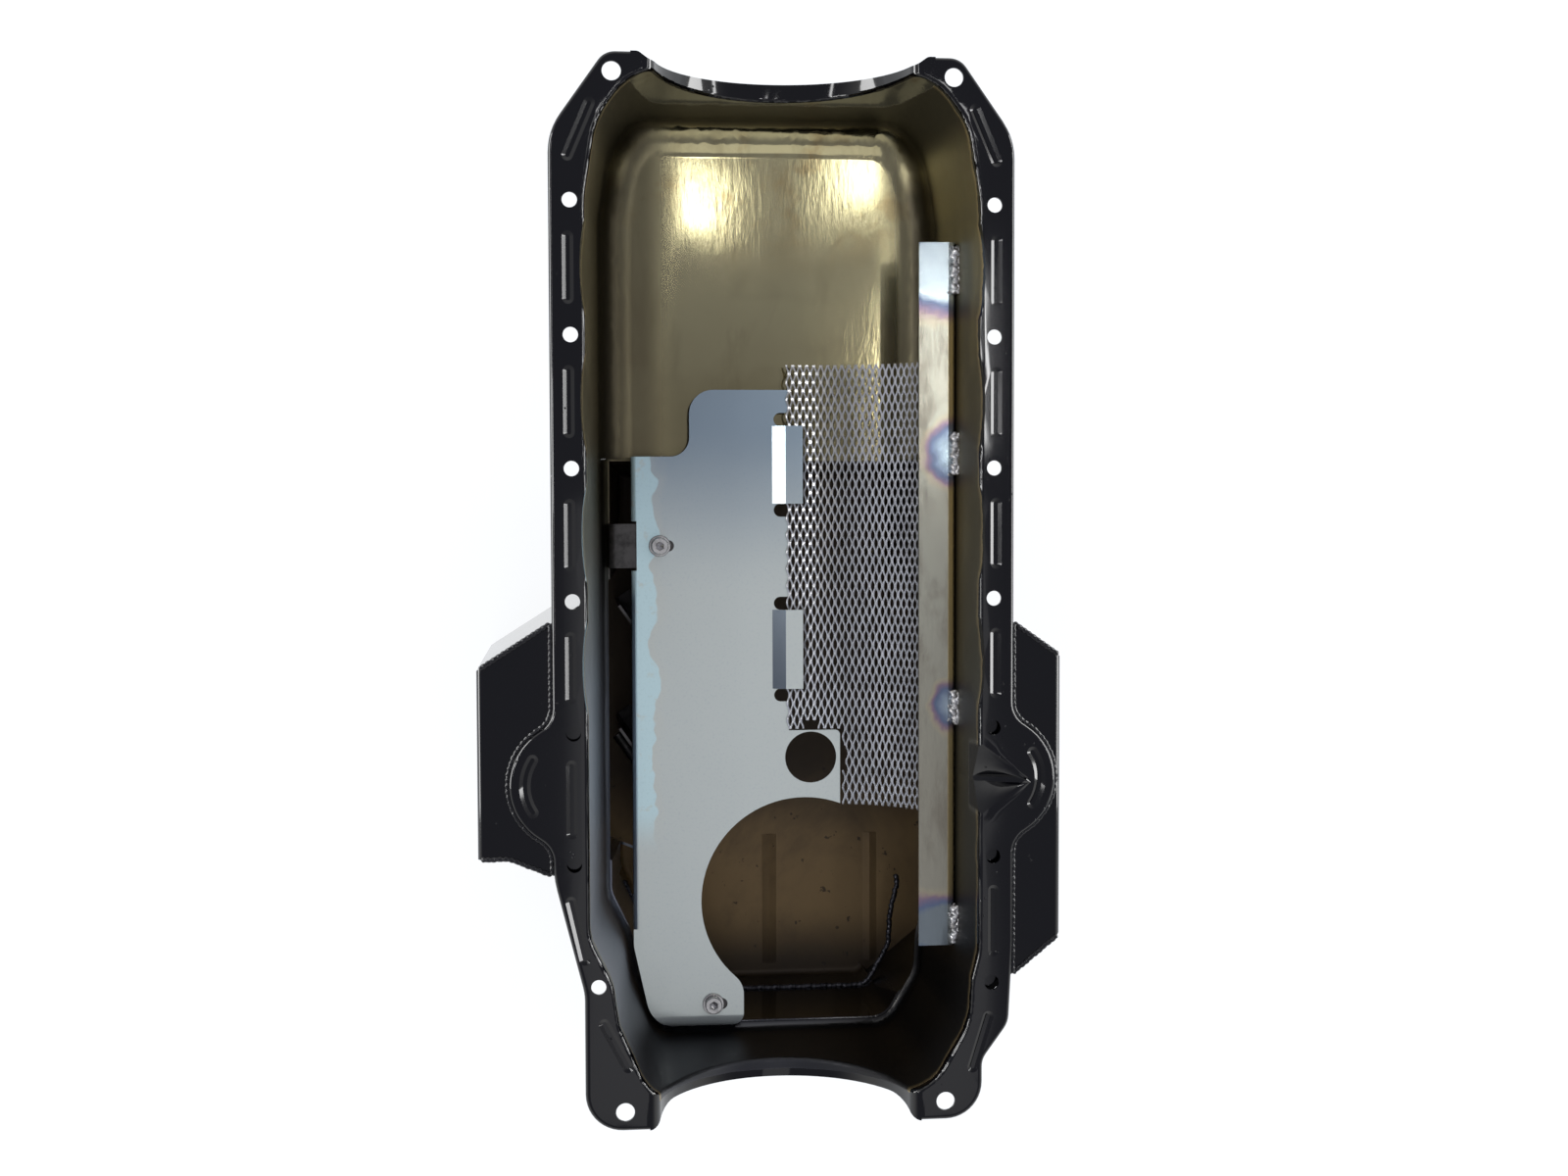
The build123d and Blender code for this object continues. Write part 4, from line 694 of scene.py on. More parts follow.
# ---------------------------------------------------------------- mesh making
def add_mesh(
    name: str, points: Grid, faces: Grid, material: bpy.types.Material, smooth: bool = True
) -> bpy.types.Object:
    """Adds an object at the origin from arrays.

    Args:
        name: the object's name.
        points: vertex places, one row each.
        faces: vertex numbers of each face, one face a row.
        material: its finish.
        smooth: shades across the faces.

    Returns:
        The new object.
    """
    mesh = bpy.data.meshes.new(name)
    mesh.vertices.add(len(points))
    mesh.vertices.foreach_set("co", np.ascontiguousarray(points, dtype=np.float32).ravel())
    corners = faces.shape[1]
    mesh.loops.add(faces.size)
    mesh.loops.foreach_set("vertex_index", np.ascontiguousarray(faces, dtype=np.int32).ravel())
    mesh.polygons.add(len(faces))
    mesh.polygons.foreach_set("loop_start", np.arange(len(faces), dtype=np.int32) * corners)
    mesh.polygons.foreach_set("loop_total", np.full(len(faces), corners, dtype=np.int32))
    mesh.update(calc_edges=True)
    mesh.validate()
    mesh.polygons.foreach_set("use_smooth", np.full(len(mesh.polygons), smooth))
    mesh.materials.append(material)
    made = bpy.data.objects.new(name, mesh)
    bpy.context.scene.collection.objects.link(made)
    return made


def finish_piece(piece: bpy.types.Object, slot: str, *nodes: str) -> bpy.types.Object:
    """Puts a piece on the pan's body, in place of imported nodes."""
    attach(piece, PAN_BODY)
    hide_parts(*nodes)
    return piece


def tube_faces(rings: int, sides: int) -> Grid:
    """Quads around a tube of rings, open at both ends; points run around each ring in turn."""
    ring = np.arange(rings - 1)[:, None] * sides
    side = np.arange(sides)[None, :]
    after = (side + 1) % sides
    quads = np.stack([ring + side, ring + after, ring + sides + after, ring + sides + side], -1)
    return quads.reshape(-1, 4)


def solid_points(solid: bpy.types.Object) -> Grid:
    """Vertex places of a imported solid, one row each."""
    flat = np.empty(len(solid.data.vertices) * 3, dtype=np.float32)
    solid.data.vertices.foreach_get("co", flat)
    return flat.reshape(-1, 3).astype(float)


@dataclass(frozen=True)
class RoundedSheet:
    """Dressed form of a packed sheet part: its faces joined, its bends smooth, its edges softened."""

    node: str
    crease: float = math.radians(20.0)
    edge_radius: float = 0.0
    edge_segments: int = 3
    join_digits: int = 7

    def build(self, solid: bpy.types.Object, material: bpy.types.Material) -> bpy.types.Object:
        """Builds the piece.

        Corners that share a place are joined, so a bend shades as one surface, and a face's weight in
        the shading grows with its area, so the flats stay flat.

        Args:
            solid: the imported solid.
            material: the piece's finish.

        Returns:
            The piece, which replaces the solid.
        """
        corners = np.empty(len(solid.data.loops), dtype=np.int32)
        solid.data.loops.foreach_get("vertex_index", corners)
        points = np.round(solid_points(solid), self.join_digits)
        places, joined = np.unique(points, axis=0, return_inverse=True)
        faces = joined.ravel()[corners].reshape(-1, 3)
        apart = (faces != np.roll(faces, 1, axis=1)).all(axis=1)
        piece = add_mesh(self.node + "_dressed", places, faces[apart], material)
        piece.data.set_sharp_from_angle(angle=self.crease)
        if self.edge_radius > 0:
            edge = piece.modifiers.new("edge", "BEVEL")
            edge.width = self.edge_radius
            edge.segments = self.edge_segments
            edge.angle_limit = self.crease
            edge.limit_method = "ANGLE"
        weigh = piece.modifiers.new("weigh", "WEIGHTED_NORMAL")
        weigh.keep_sharp = True
        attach(piece, PAN_BODY)
        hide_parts(self.node)
        return piece


# ---------------------------------------------------------------- expanded screen
@dataclass
class ExpandedScreen:
    """Expanded-metal screen: slit and stretched sheet whose strands all tilt one way.

    The sheet lies flat beside the tray and then curves up to the scraper bar. Runs are measured
    across the sheet from its left edge.
    """

    left_x: float = 10.6 * MM
    flat_end_x: float = 25.0 * MM
    curve_r: float = 71.0 * MM
    middle_z: float = 95.0 * MM
    front_y: float = 128.8 * MM
    rear_y: float = -124.0 * MM
    step_y: float = -83.0 * MM
    step_x: float = 42.0 * MM
    top_z: float = 142.2 * MM
    hole: Point2 = (24.7 * MM, -98.9 * MM)
    hole_clear: float = 20.0 * MM
    pickup: Point2 = (20.6 * MM, -182.6 * MM)
    pickup_r: float = 60.2 * MM
    most_run: float = 130.0 * MM
    across: float = 4.07 * MM
    along: float = 9.8 * MM
    strand_width: float = 0.92 * MM
    strand_thick: float = 0.8 * MM
    tilt: float = math.radians(30.0)
    bond_part: float = 0.12
    overlap: float = 0.02
    trim_reach: float = 0.01 * MM
    rings: int = 7

    def place(self, run: Grid, lift: Grid) -> tuple[Grid, Grid]:
        """X and Z on the sheet.

        Straight up to the flat's end; beyond it an arc, whose angle is the run past that point over
        the radius. The lift is added along the surface's normal.

        Args:
            run: distance across the sheet from its left edge.
            lift: height above the sheet's middle surface.

        Returns:
            X and Z.
        """
        flat = self.flat_end_x - self.left_x
        angle = np.maximum(run - flat, 0.0) / self.curve_r
        x = self.left_x + np.minimum(run, flat) + self.curve_r * np.sin(angle) - lift * np.sin(angle)
        z = self.middle_z + self.curve_r * (1 - np.cos(angle)) + lift * np.cos(angle)
        return x, z

    def kept(self, run: Grid, y: Grid) -> Grid:
        """True where a point of the sheet is inside its trimmed plan."""
        x, z = self.place(run, np.zeros_like(run))
        inside = (run > 0) & (y < self.front_y) & (y > self.rear_y) & (z < self.top_z)
        inside &= ~((y < self.step_y) & (x < self.step_x))
        inside &= np.hypot(x - self.hole[0], y - self.hole[1]) > self.hole_clear
        return inside & (np.hypot(x - self.pickup[0], y - self.pickup[1]) > self.pickup_r)

    def strands(self) -> tuple[Grid, Grid, Grid]:
        """Starts of all strands: run, y and the way (+1 or -1) each one goes along Y."""
        columns = np.arange(int(self.most_run / (self.across / 2)))
        rows = np.arange(int((self.front_y - self.rear_y) / (self.along / 2)) + 2)
        column, row = np.meshgrid(columns, rows, indexing="ij")
        paired = (column + row) % 2 == 0
        run = column[paired] * self.across / 2
        y = self.front_y - row[paired] * self.along / 2
        run, y = np.tile(run, 2), np.tile(y, 2)
        way = np.repeat([1.0, -1.0], len(run) // 2)
        by_start = self.kept(run + self.trim_reach, y - way * self.trim_reach)
        by_end = self.kept(run + self.across / 2, y + way * self.along / 2)
        keep = self.kept(run + self.across / 4, y + way * self.along / 4) & (by_start | by_end)
        return run[keep], y[keep], way[keep]

    def build(self, material: bpy.types.Material) -> bpy.types.Object:
        """Builds the lattice.

        Each strand runs from the right half of one bond to the left half of the next. Between the
        bonds it crosses over by the smooth step 3 b^2 - 2 b^3 while it drops from the bond's high half
        to its low half, and it laps a little past both ends. Its cross-section is a rectangle tilted
        about Y.

        Args:
            material: the screen's finish.

        Returns:
            The screen.
        """
        run, y, way = (values[:, None, None] for values in self.strands())
        t = np.linspace(0.0, 1.0, self.rings)[None, :, None]
        blend = np.clip((t - self.bond_part) / (1 - 2 * self.bond_part), 0.0, 1.0)
        blend = blend * blend * (3 - 2 * blend)
        half = self.strand_width / 2
        start = half * math.cos(self.tilt)
        centre = run + start + (self.across / 2 - 2 * start) * blend
        lift = half * math.sin(self.tilt) * (1 - 2 * blend)
        y_path = y + way * (self.along / 2) * (t * (1 + 2 * self.overlap) - self.overlap)
        u = np.array([1, -1, -1, 1])[None, None, :] * half
        v = np.array([1, 1, -1, -1])[None, None, :] * self.strand_thick / 2
        corner_run = centre + (u * math.cos(self.tilt) - v * math.sin(self.tilt))
        corner_lift = lift + (u * math.sin(self.tilt) + v * math.cos(self.tilt))
        x, z = self.place(corner_run, corner_lift)
        points = np.stack([x, np.broadcast_to(y_path, x.shape), z], -1)
        last = 4 * (self.rings - 1)
        caps = np.array([[3, 2, 1, 0], [last, last + 1, last + 2, last + 3]])
        strand = np.vstack([tube_faces(self.rings, 4), caps])
        starts = np.arange(len(run))[:, None, None] * 4 * self.rings
        faces = np.where(way < 0, strand[None], strand[None, :, ::-1]) + starts
        LOG.info("screen strands: %d", len(run))
        points, faces = points.reshape(-1, 3), faces.reshape(-1, 4)
        screen = add_mesh("expanded_screen", points, faces, material, smooth=False)
        return finish_piece(screen, "expanded", "tray_screen")


# ---------------------------------------------------------------- welds
def arc_points(centre: Point2, radius: float, start: float, end: float, count: int) -> Grid:
    """Plan points along an arc: the centre plus the radius times (cosine, sine) of angles in radians."""
    angle = np.linspace(start, end, count)
    return np.stack([centre[0] + radius * np.cos(angle), centre[1] + radius * np.sin(angle)], -1)


@dataclass(frozen=True)
class WeldBead:
    """Bead of weld metal laid in overlapping puddles along a path."""

    path: Grid
    radius: float
    pitch: float
    lump: float = 0.3
    ragged: float = 0.15
    seed: int = 1
    sides: int = 14
    spacing: float = 0.55 * MM
    bow: float = 0.35
    wave_length: float = 3.1
    waves: int = 6
    end_part: float = 1.2

    def stations(self) -> tuple[Grid, Grid]:
        """Evenly spaced points along the path, and how far along each one lies."""
        steps = np.linalg.norm(np.diff(self.path, axis=0), axis=1)
        run = np.concatenate([[0.0], np.cumsum(steps)])
        along = np.linspace(0.0, run[-1], max(8, int(run[-1] / self.spacing)))
        return np.stack([np.interp(along, run, self.path[:, k]) for k in range(3)], -1), along

    def swell(self, along: Grid, turn: Grid) -> Grid:
        """Radius factor at each run and turn.

        One plus a puddle term, |sin(pi * (run / pitch + lag))| with a lag that is greatest at the
        sides, plus a few waves of falling length and height with random phases; the ends close as a
        quarter circle.
        """
        chance = np.random.default_rng(self.seed)
        lag = self.bow * np.abs(np.sin(turn))
        puddle = np.abs(np.sin(math.pi * (along / self.pitch + lag)))
        waves = np.zeros(np.broadcast(along, turn).shape)
        for wave in range(1, self.waves + 1):
            phase = chance.uniform(0, 2 * math.pi, 2)
            run = 2 * math.pi * along * wave / (self.pitch * self.wave_length) + phase[0]
            waves += np.sin(run) * np.cos((wave % 4) * turn + phase[1]) / wave
        near_end = np.minimum(along, along.max() - along) / (self.radius * self.end_part)
        ends = np.sqrt(1 - (1 - np.clip(near_end, 0.0, 1.0)) ** 2)
        return ends * (1 - self.lump / 2 + self.lump * puddle + self.ragged * waves)

    def grid(self) -> tuple[Grid, Grid]:
        """Points and faces of the bead: rings of the swelling radius around the path."""
        centre, along = self.stations()
        ahead = np.gradient(centre, axis=0)
        ahead /= np.linalg.norm(ahead, axis=1, keepdims=True)
        side = np.cross(ahead, (0.0, 0.0, 1.0))
        side /= np.linalg.norm(side, axis=1, keepdims=True)
        over = np.cross(side, ahead)
        turn = (np.arange(self.sides) * (2 * math.pi / self.sides))[None, :, None]
        radius = self.radius * self.swell(along[:, None, None], turn)
        points = centre[:, None] + radius * (side[:, None] * np.cos(turn) + over[:, None] * np.sin(turn))
        return points.reshape(-1, 3), tube_faces(len(along), self.sides)[:, ::-1]


def join_grids(grids: list[tuple[Grid, Grid]]) -> tuple[Grid, Grid]:
    """Several sets of points and faces as one."""
    starts = np.cumsum([0] + [len(points) for points, _ in grids[:-1]])
    faces = np.vstack([faces + start for (_, faces), start in zip(grids, starts)])
    return np.vstack([points for points, _ in grids]), faces


@dataclass(frozen=True)
class BeadLayer:
    """One pass of a bar weld: its shift from the joint's line and its share of the full radius."""

    shift: float
    lift: float
    share: float


@dataclass(frozen=True)
class BarWelds:
    """Coarse silver welds that hold the scraper bar to the wall."""

    x: float = 100.2 * MM
    z: float = 146.6 * MM
    spans: tuple[Span, ...] = (
        (165.0 * MM, 192.0 * MM),
        (65.0 * MM, 89.0 * MM),
        (-75.0 * MM, -55.0 * MM),
        (-199.0 * MM, -176.5 * MM),
    )
    layers: tuple[BeadLayer, ...] = (BeadLayer(0.0, 0.0, 1.0), BeadLayer(1.9 * MM, 1.3 * MM, 0.62))
    radius: float = 2.7 * MM
    pitch: float = 3.4 * MM
    sway: float = 0.6 * MM
    sway_rate: float = 700.0
    within_wall: float = 101.9 * MM
    lumps: int = 9
    lump_x: Span = (-4.0 * MM, 2.5 * MM)
    lump_drop: float = 0.7 * MM
    lump_r: Span = (0.4 * MM, 0.9 * MM)
    lump_reach: Point3 = (1.2 * MM, 1.6 * MM, 0.0)
    seed: int = 5

    def passes(self, number: int, span: Span) -> list[tuple[Grid, Grid]]:
        """The crossing beads of one weld; each sways by the sine of its place along the bar."""
        y = np.linspace(*span, 24)
        grids = []
        for layer, bead in enumerate(self.layers):
            x = self.x + bead.shift + self.sway * np.sin(y * self.sway_rate + number + layer)
            path = np.stack([x, y, np.full_like(y, self.z + bead.lift)], -1)
            seed = 10 * number + layer
            grids.append(WeldBead(path, self.radius * bead.share, self.pitch, 0.42, 0.16, seed).grid())
        return grids

    def spatter(self, chance: np.random.Generator, span: Span) -> tuple[Grid, Grid]:
        """One loose lump beside a weld."""
        x, y = self.x + chance.uniform(*self.lump_x), chance.uniform(*span)
        ahead = chance.uniform(-1, 1, 3) * self.lump_reach
        radius = chance.uniform(*self.lump_r)
        path = np.array([x, y, self.z - self.lump_drop]) + np.linspace(-1, 1, 6)[:, None] * ahead
        return WeldBead(path, radius, 2.0 * MM, 0.2, 0.2, chance.integers(1000), 8, 0.3 * MM).grid()

    def build(self, material: bpy.types.Material) -> bpy.types.Object:
        """Lays crossing beads and a few loose lumps for every weld; none comes out behind the wall."""
        grids = []
        chance = np.random.default_rng(self.seed)
        for number, span in enumerate(self.spans):
            grids += self.passes(number, span)
            grids += [self.spatter(chance, span) for _ in range(self.lumps)]
        points, faces = join_grids(grids)
        points[:, 0] = np.minimum(points[:, 0], self.within_wall)
        return finish_piece(add_mesh("bar_weld_beads", points, faces, material), "weld", "scraper_welds")


@dataclass(frozen=True)
class KickoutWeld:
    """Painted bead between the rail's rim and a kick-out box, and along the box's end plates.

    Its plan is that of the right side, and the side, -1 or +1, mirrors it.
    """

    node: str
    side: int
    ends: tuple[tuple[Point2, ...], ...]
    half_width: float = 123.7 * MM
    lobe: Point2 = (112.8 * MM, -99.0 * MM)
    lobe_r: float = 34.0 * MM
    blend_r: float = 14.0 * MM
    outset: float = 0.6 * MM
    rim_z: float = 185.4 * MM
    end_z: float = 184.7 * MM
    rim_r: float = 1.55 * MM
    end_r: float = 1.35 * MM
    pitch: float = 3.1 * MM
    seed: int = 40

    def rim_path(self) -> Grid:
        """Plan of the rim over the box: straight, around the lobe by two concave arcs, straight again.

        A concave arc's centre lies one blend radius outside the rim, and its rise from the lobe's
        centre is the other leg of a right triangle whose long side is both radii.
        """
        blend_x = self.half_width + self.blend_r
        reach = blend_x - self.lobe[0]
        rise = math.sqrt((self.lobe_r + self.blend_r) ** 2 - reach**2)
        tangent = math.atan2(rise, reach)
        inner = self.blend_r - self.outset
        front = arc_points((blend_x, self.lobe[1] + rise), inner, math.pi, math.pi + tangent, 10)
        round_lobe = arc_points(self.lobe, self.lobe_r + self.outset, tangent, -tangent, 40)
        rear = arc_points((blend_x, self.lobe[1] - rise), inner, math.pi - tangent, math.pi, 10)
        start, finish = ([(self.half_width + self.outset, end[0][1])] for end in self.ends)
        return np.vstack([start, front, round_lobe, rear, finish])

    def bead(self, plan: Grid, height: float, radius: float, seed: int) -> tuple[Grid, Grid]:
        """One bead along a plan path, mirrored to its side."""
        path = np.column_stack([self.side * plan[:, 0], plan[:, 1], np.full(len(plan), height)])
        return WeldBead(path, radius, self.pitch, 0.34, 0.10, seed, 12, 0.7 * MM).grid()

    def build(self, material: bpy.types.Material) -> bpy.types.Object:
        """Lays the beads."""
        grids = [self.bead(self.rim_path(), self.rim_z, self.rim_r, self.seed)]
        for number, end in enumerate(self.ends, 1):
            grids.append(self.bead(np.array(end), self.end_z, self.end_r, self.seed + number))
        piece = add_mesh(self.node + "_beads", *join_grids(grids), material)
        return finish_piece(piece, "paint_weld", self.node)


@dataclass(frozen=True)
class SeamWeld:
    """Bead along the top of the sump floor's turned-up edge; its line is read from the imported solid."""

    node: str = "sump_seam_weld"
    middle: Point2 = (0.0, -160.0 * MM)
    sectors: int = 59
    radius: float = 1.5 * MM
    pitch: float = 3.2 * MM
    seed: int = 77

    def build(self, solid: bpy.types.Object, material: bpy.types.Material) -> bpy.types.Object:
        """Lays the bead through the mean of the solid's points in each sector around the sump's middle."""
        points = solid_points(solid)
        angle = np.arctan2(points[:, 1] - self.middle[1], points[:, 0] - self.middle[0]) % (2 * math.pi)
        edges = np.linspace(angle.min(), angle.max() + 1e-6, self.sectors + 1)
        groups = [points[(angle >= low) & (angle < high)] for low, high in zip(edges, edges[1:])]
        path = np.array([group.mean(axis=0) for group in groups if len(group)])
        bead = WeldBead(path, self.radius, self.pitch, 0.32, 0.14, self.seed)
        return finish_piece(add_mesh("seam_bead", *bead.grid(), material), "weld", self.node)


# ---------------------------------------------------------------- tray fasteners
@dataclass(frozen=True)
class SocketScrews:
    """Socket-head screws with their washers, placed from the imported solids' box."""

    shank_r: float = 3.0 * MM
    shank: float = 14.0 * MM
    head_r: float = 5.0 * MM
    head: float = 4.0 * MM
    socket: float = 2.0 * MM
    washer_r: float = 6.2 * MM
    washer: float = 1.2 * MM
    sides: int = 48

    head_soft: float = 0.35 * MM
    washer_soft: float = 0.25 * MM
    washer_gap: float = 0.3 * MM
    socket_depth: float = 2.3 * MM
    socket_floor: float = 1.1 * MM
    crease: float = math.radians(40.0)

    def revolve(self, rings: list[Point2], hexes: int = 0) -> tuple[Grid, Grid]:
        """Surface through rings of (radius, height); the last few rings may be hexagons.

        A hexagon's radius at a turn is its inner radius over the cosine of the turn's distance from the
        nearest flat.
        """
        turn = np.arange(self.sides) * (2 * math.pi / self.sides)
        off_flat = (turn + math.pi / 6) % (math.pi / 3) - math.pi / 6
        rows = []
        for number, (radius, height) in enumerate(rings):
            is_hex = len(rings) - hexes <= number < len(rings) - 1
            around = radius / np.cos(off_flat) if is_hex else np.full(self.sides, radius)
            plan = (around * np.cos(turn), around * np.sin(turn))
            rows.append(np.stack([*plan, np.full(self.sides, height)], -1))
        return np.vstack(rows), tube_faces(len(rings), self.sides)

    def head_rings(self) -> list[Point2]:
        """Profile of a screw from its tip to the bottom of its socket; height 0 is under the head."""
        soft = self.head_soft
        outside = [
            (0.0, -self.shank),
            (self.shank_r - soft, -self.shank),
            (self.shank_r, -self.shank + soft),
            (self.shank_r, 0.0),
            (self.head_r - soft, 0.0),
            (self.head_r, soft),
            (self.head_r, self.head - 3 * soft),
            (self.head_r - 0.5 * soft, self.head - 1.2 * soft),
            (self.head_r - 1.5 * soft, self.head),
        ]
        inside = [
            (self.socket + soft, self.head),
            (self.socket, self.head - soft),
            (self.socket, self.head - self.socket_depth),
            (0.0, self.socket_floor),
        ]
        return outside + inside

    def washer_rings(self) -> list[Point2]:
        """Closed profile of a washer with its outer corners softened; height 0 is on the tray."""
        soft, inner = self.washer_soft, self.shank_r + self.washer_gap
        return [
            (inner, 0.0),
            (self.washer_r - soft, 0.0),
            (self.washer_r, soft),
            (self.washer_r, self.washer - soft),
            (self.washer_r - soft, self.washer),
            (inner, self.washer),
            (inner, 0.0),
        ]

    def build(self, box: object, tray_z: float, material: bpy.types.Material) -> bpy.types.Object:
        """Builds both screws and washers.

        Args:
            box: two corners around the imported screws; they lie on its front left and rear right corner.
            tray_z: top of the tray.
            material: their finish.

        Returns:
            The piece, which replaces screws and washers.
        """
        (left, rear, _), (right, front, _) = box
        grids = []
        places = ((left + self.head_r, front - self.head_r), (right - self.head_r, rear + self.head_r))
        for x, y in places:
            points, faces = self.revolve(self.head_rings(), 4)
            grids.append((points + (x, y, tray_z + self.washer), faces))
            points, faces = self.revolve(self.washer_rings())
            grids.append((points + (x, y, tray_z), faces))
        piece = add_mesh("tray_fasteners", *join_grids(grids), material)
        piece.data.set_sharp_from_angle(angle=self.crease)
        return finish_piece(piece, "fastener", "tray_screws", "tray_washers")


# ---------------------------------------------------------------- studio
@dataclass(frozen=True)
class SoftBox:
    """Rectangular lamp: where it hangs, what it faces, its size and its brightness (W/m2 sr)."""

    name: str
    place: Point3
    aim: Point3
    size: Point2
    radiance: float

    def hang(self) -> None:
        """Adds the lamp; its power is pi times its area times its brightness."""
        data = bpy.data.lights.new(self.name, "AREA")
        data.shape = "RECTANGLE"
        data.size, data.size_y = self.size
        data.energy = math.pi * self.size[0] * self.size[1] * self.radiance
        lamp = bpy.data.objects.new(self.name, data)
        back = (Vector(self.place) - Vector(self.aim)).normalized()
        side = Vector((0.0, 1.0, 0.0)).cross(back).normalized()
        turn = Matrix((side, back.cross(side), back)).transposed().to_4x4()
        lamp.matrix_world = Matrix.Translation(self.place) @ turn
        bpy.context.scene.collection.objects.link(lamp)


@dataclass
class Studio:
    """Floor, lamps, world and the camera."""

    camera_place: Point3 = (-0.1088, 0.05445, 1.2174)
    camera_rows: tuple[Point3, ...] = (
        (0.9945, -0.0027, 0.1047),
        (0.0077, 0.9988, -0.0475),
        (-0.1044, 0.0481, 0.9934),
    )
    lens: float = 44.69
    sensor: float = 36.0
    horizon: Color = (1.0, 1.0, 1.0)
    zenith: Color = (0.24, 0.245, 0.29)
    dusk: Span = (0.10, 0.72)
    world_light: float = 3.6
    floor_half: float = 6.0
    floor_drop: float = 0.2 * MM
    lamps: tuple[SoftBox, ...] = (
        SoftBox("spot_left", (0.046, 0.412, 1.30), (-0.04, 0.22, 0.08), (0.044, 0.055), 9.0),
        SoftBox("spot_right", (0.222, 0.435, 1.30), (0.05, 0.22, 0.08), (0.044, 0.065), 6.8),
        SoftBox("overhead", (0.11, -0.30, 1.30), (0.05, -0.10, 0.1), (0.46, 0.70), 0.47),
        SoftBox("bar_box", (0.313, 0.205, 1.30), (0.09, 0.10, 0.145), (0.038, 0.19), 18.0),
        SoftBox("side_left", (-0.95, 0.11, 0.89), (0.006, 0.07, 0.098), (0.20, 0.15), 12.0),
        SoftBox("strip_left", (-0.95, 0.24, 1.09), (0.14, 0.15, 0.19), (0.05, 0.7), 11.0),
        SoftBox("strip_right", (3.0, 0.30, 1.83), (-0.14, 0.15, 0.19), (0.17, 1.7), 11.0),
        SoftBox("low_left", (-0.95, 0.2, 0.30), (0.0, 0.15, 0.19), (0.24, 0.9), 10.0),
        SoftBox("low_right", (0.95, 0.2, 0.30), (0.0, 0.15, 0.19), (0.24, 0.9), 10.0),
    )

    def set_camera(self) -> None:
        """Places the camera; its rows are the camera's own axes in the pan's frame."""
        data = bpy.data.cameras.new("camera")
        data.lens = self.lens
        data.sensor_width = self.sensor
        camera = bpy.data.objects.new("camera", data)
        turn = Matrix(self.camera_rows).transposed().to_4x4()
        camera.matrix_world = Matrix.Translation(self.camera_place) @ turn
        bpy.context.scene.collection.objects.link(camera)
        bpy.context.scene.camera = camera

    def set_world(self) -> None:
        """White at and below the horizon and dark overhead; stronger as light on matt surfaces."""
        world = bpy.data.worlds.new("studio")
        bpy.context.scene.world = world
        world.use_nodes = True
        tree = world.node_tree
        tree.nodes.clear()
        place = tree.nodes.new("ShaderNodeTexCoord")
        split = tree.nodes.new("ShaderNodeSeparateXYZ")
        tree.links.new(place.outputs["Generated"], split.inputs[0])
        height = tree.nodes.new("ShaderNodeMapRange")
        height.interpolation_type = "SMOOTHSTEP"
        height.inputs["From Min"].default_value, height.inputs["From Max"].default_value = self.dusk
        tree.links.new(split.outputs["Z"], height.inputs["Value"])
        tone = tree.nodes.new("ShaderNodeMix")
        tone.data_type = "RGBA"
        tone.inputs[MIX_A].default_value = (*self.horizon, 1.0)
        tone.inputs[MIX_B].default_value = (*self.zenith, 1.0)
        tree.links.new(height.outputs["Result"], tone.inputs["Factor"])
        paths = tree.nodes.new("ShaderNodeLightPath")
        strength = tree.nodes.new("ShaderNodeMapRange")
        strength.inputs["To Min"].default_value = 1.0
        strength.inputs["To Max"].default_value = self.world_light
        tree.links.new(paths.outputs["Is Diffuse Ray"], strength.inputs["Value"])
        background = tree.nodes.new("ShaderNodeBackground")
        tree.links.new(tone.outputs[MIX_RESULT], background.inputs["Color"])
        tree.links.new(strength.outputs[0], background.inputs["Strength"])
        output = tree.nodes.new("ShaderNodeOutputWorld")
        tree.links.new(background.outputs[0], output.inputs["Surface"])

    def set_floor(self) -> None:
        """Adds the floor just under the pan."""
        corners = np.array([(-1, -1), (1, -1), (1, 1), (-1, 1)]) * self.floor_half
        points = np.column_stack([corners, np.full(len(corners), -self.floor_drop)])
        material = StudioFloorFinish().build()
        add_mesh("studio_floor", points, np.array([[0, 1, 2, 3]]), material, smooth=False)

    def build(self) -> None:
        """Sets up the whole studio."""
        bpy.context.scene.view_settings.view_transform = "Standard"
        self.set_camera()
        self.set_world()
        for lamp in self.lamps:
            lamp.hang()
        self.set_floor()


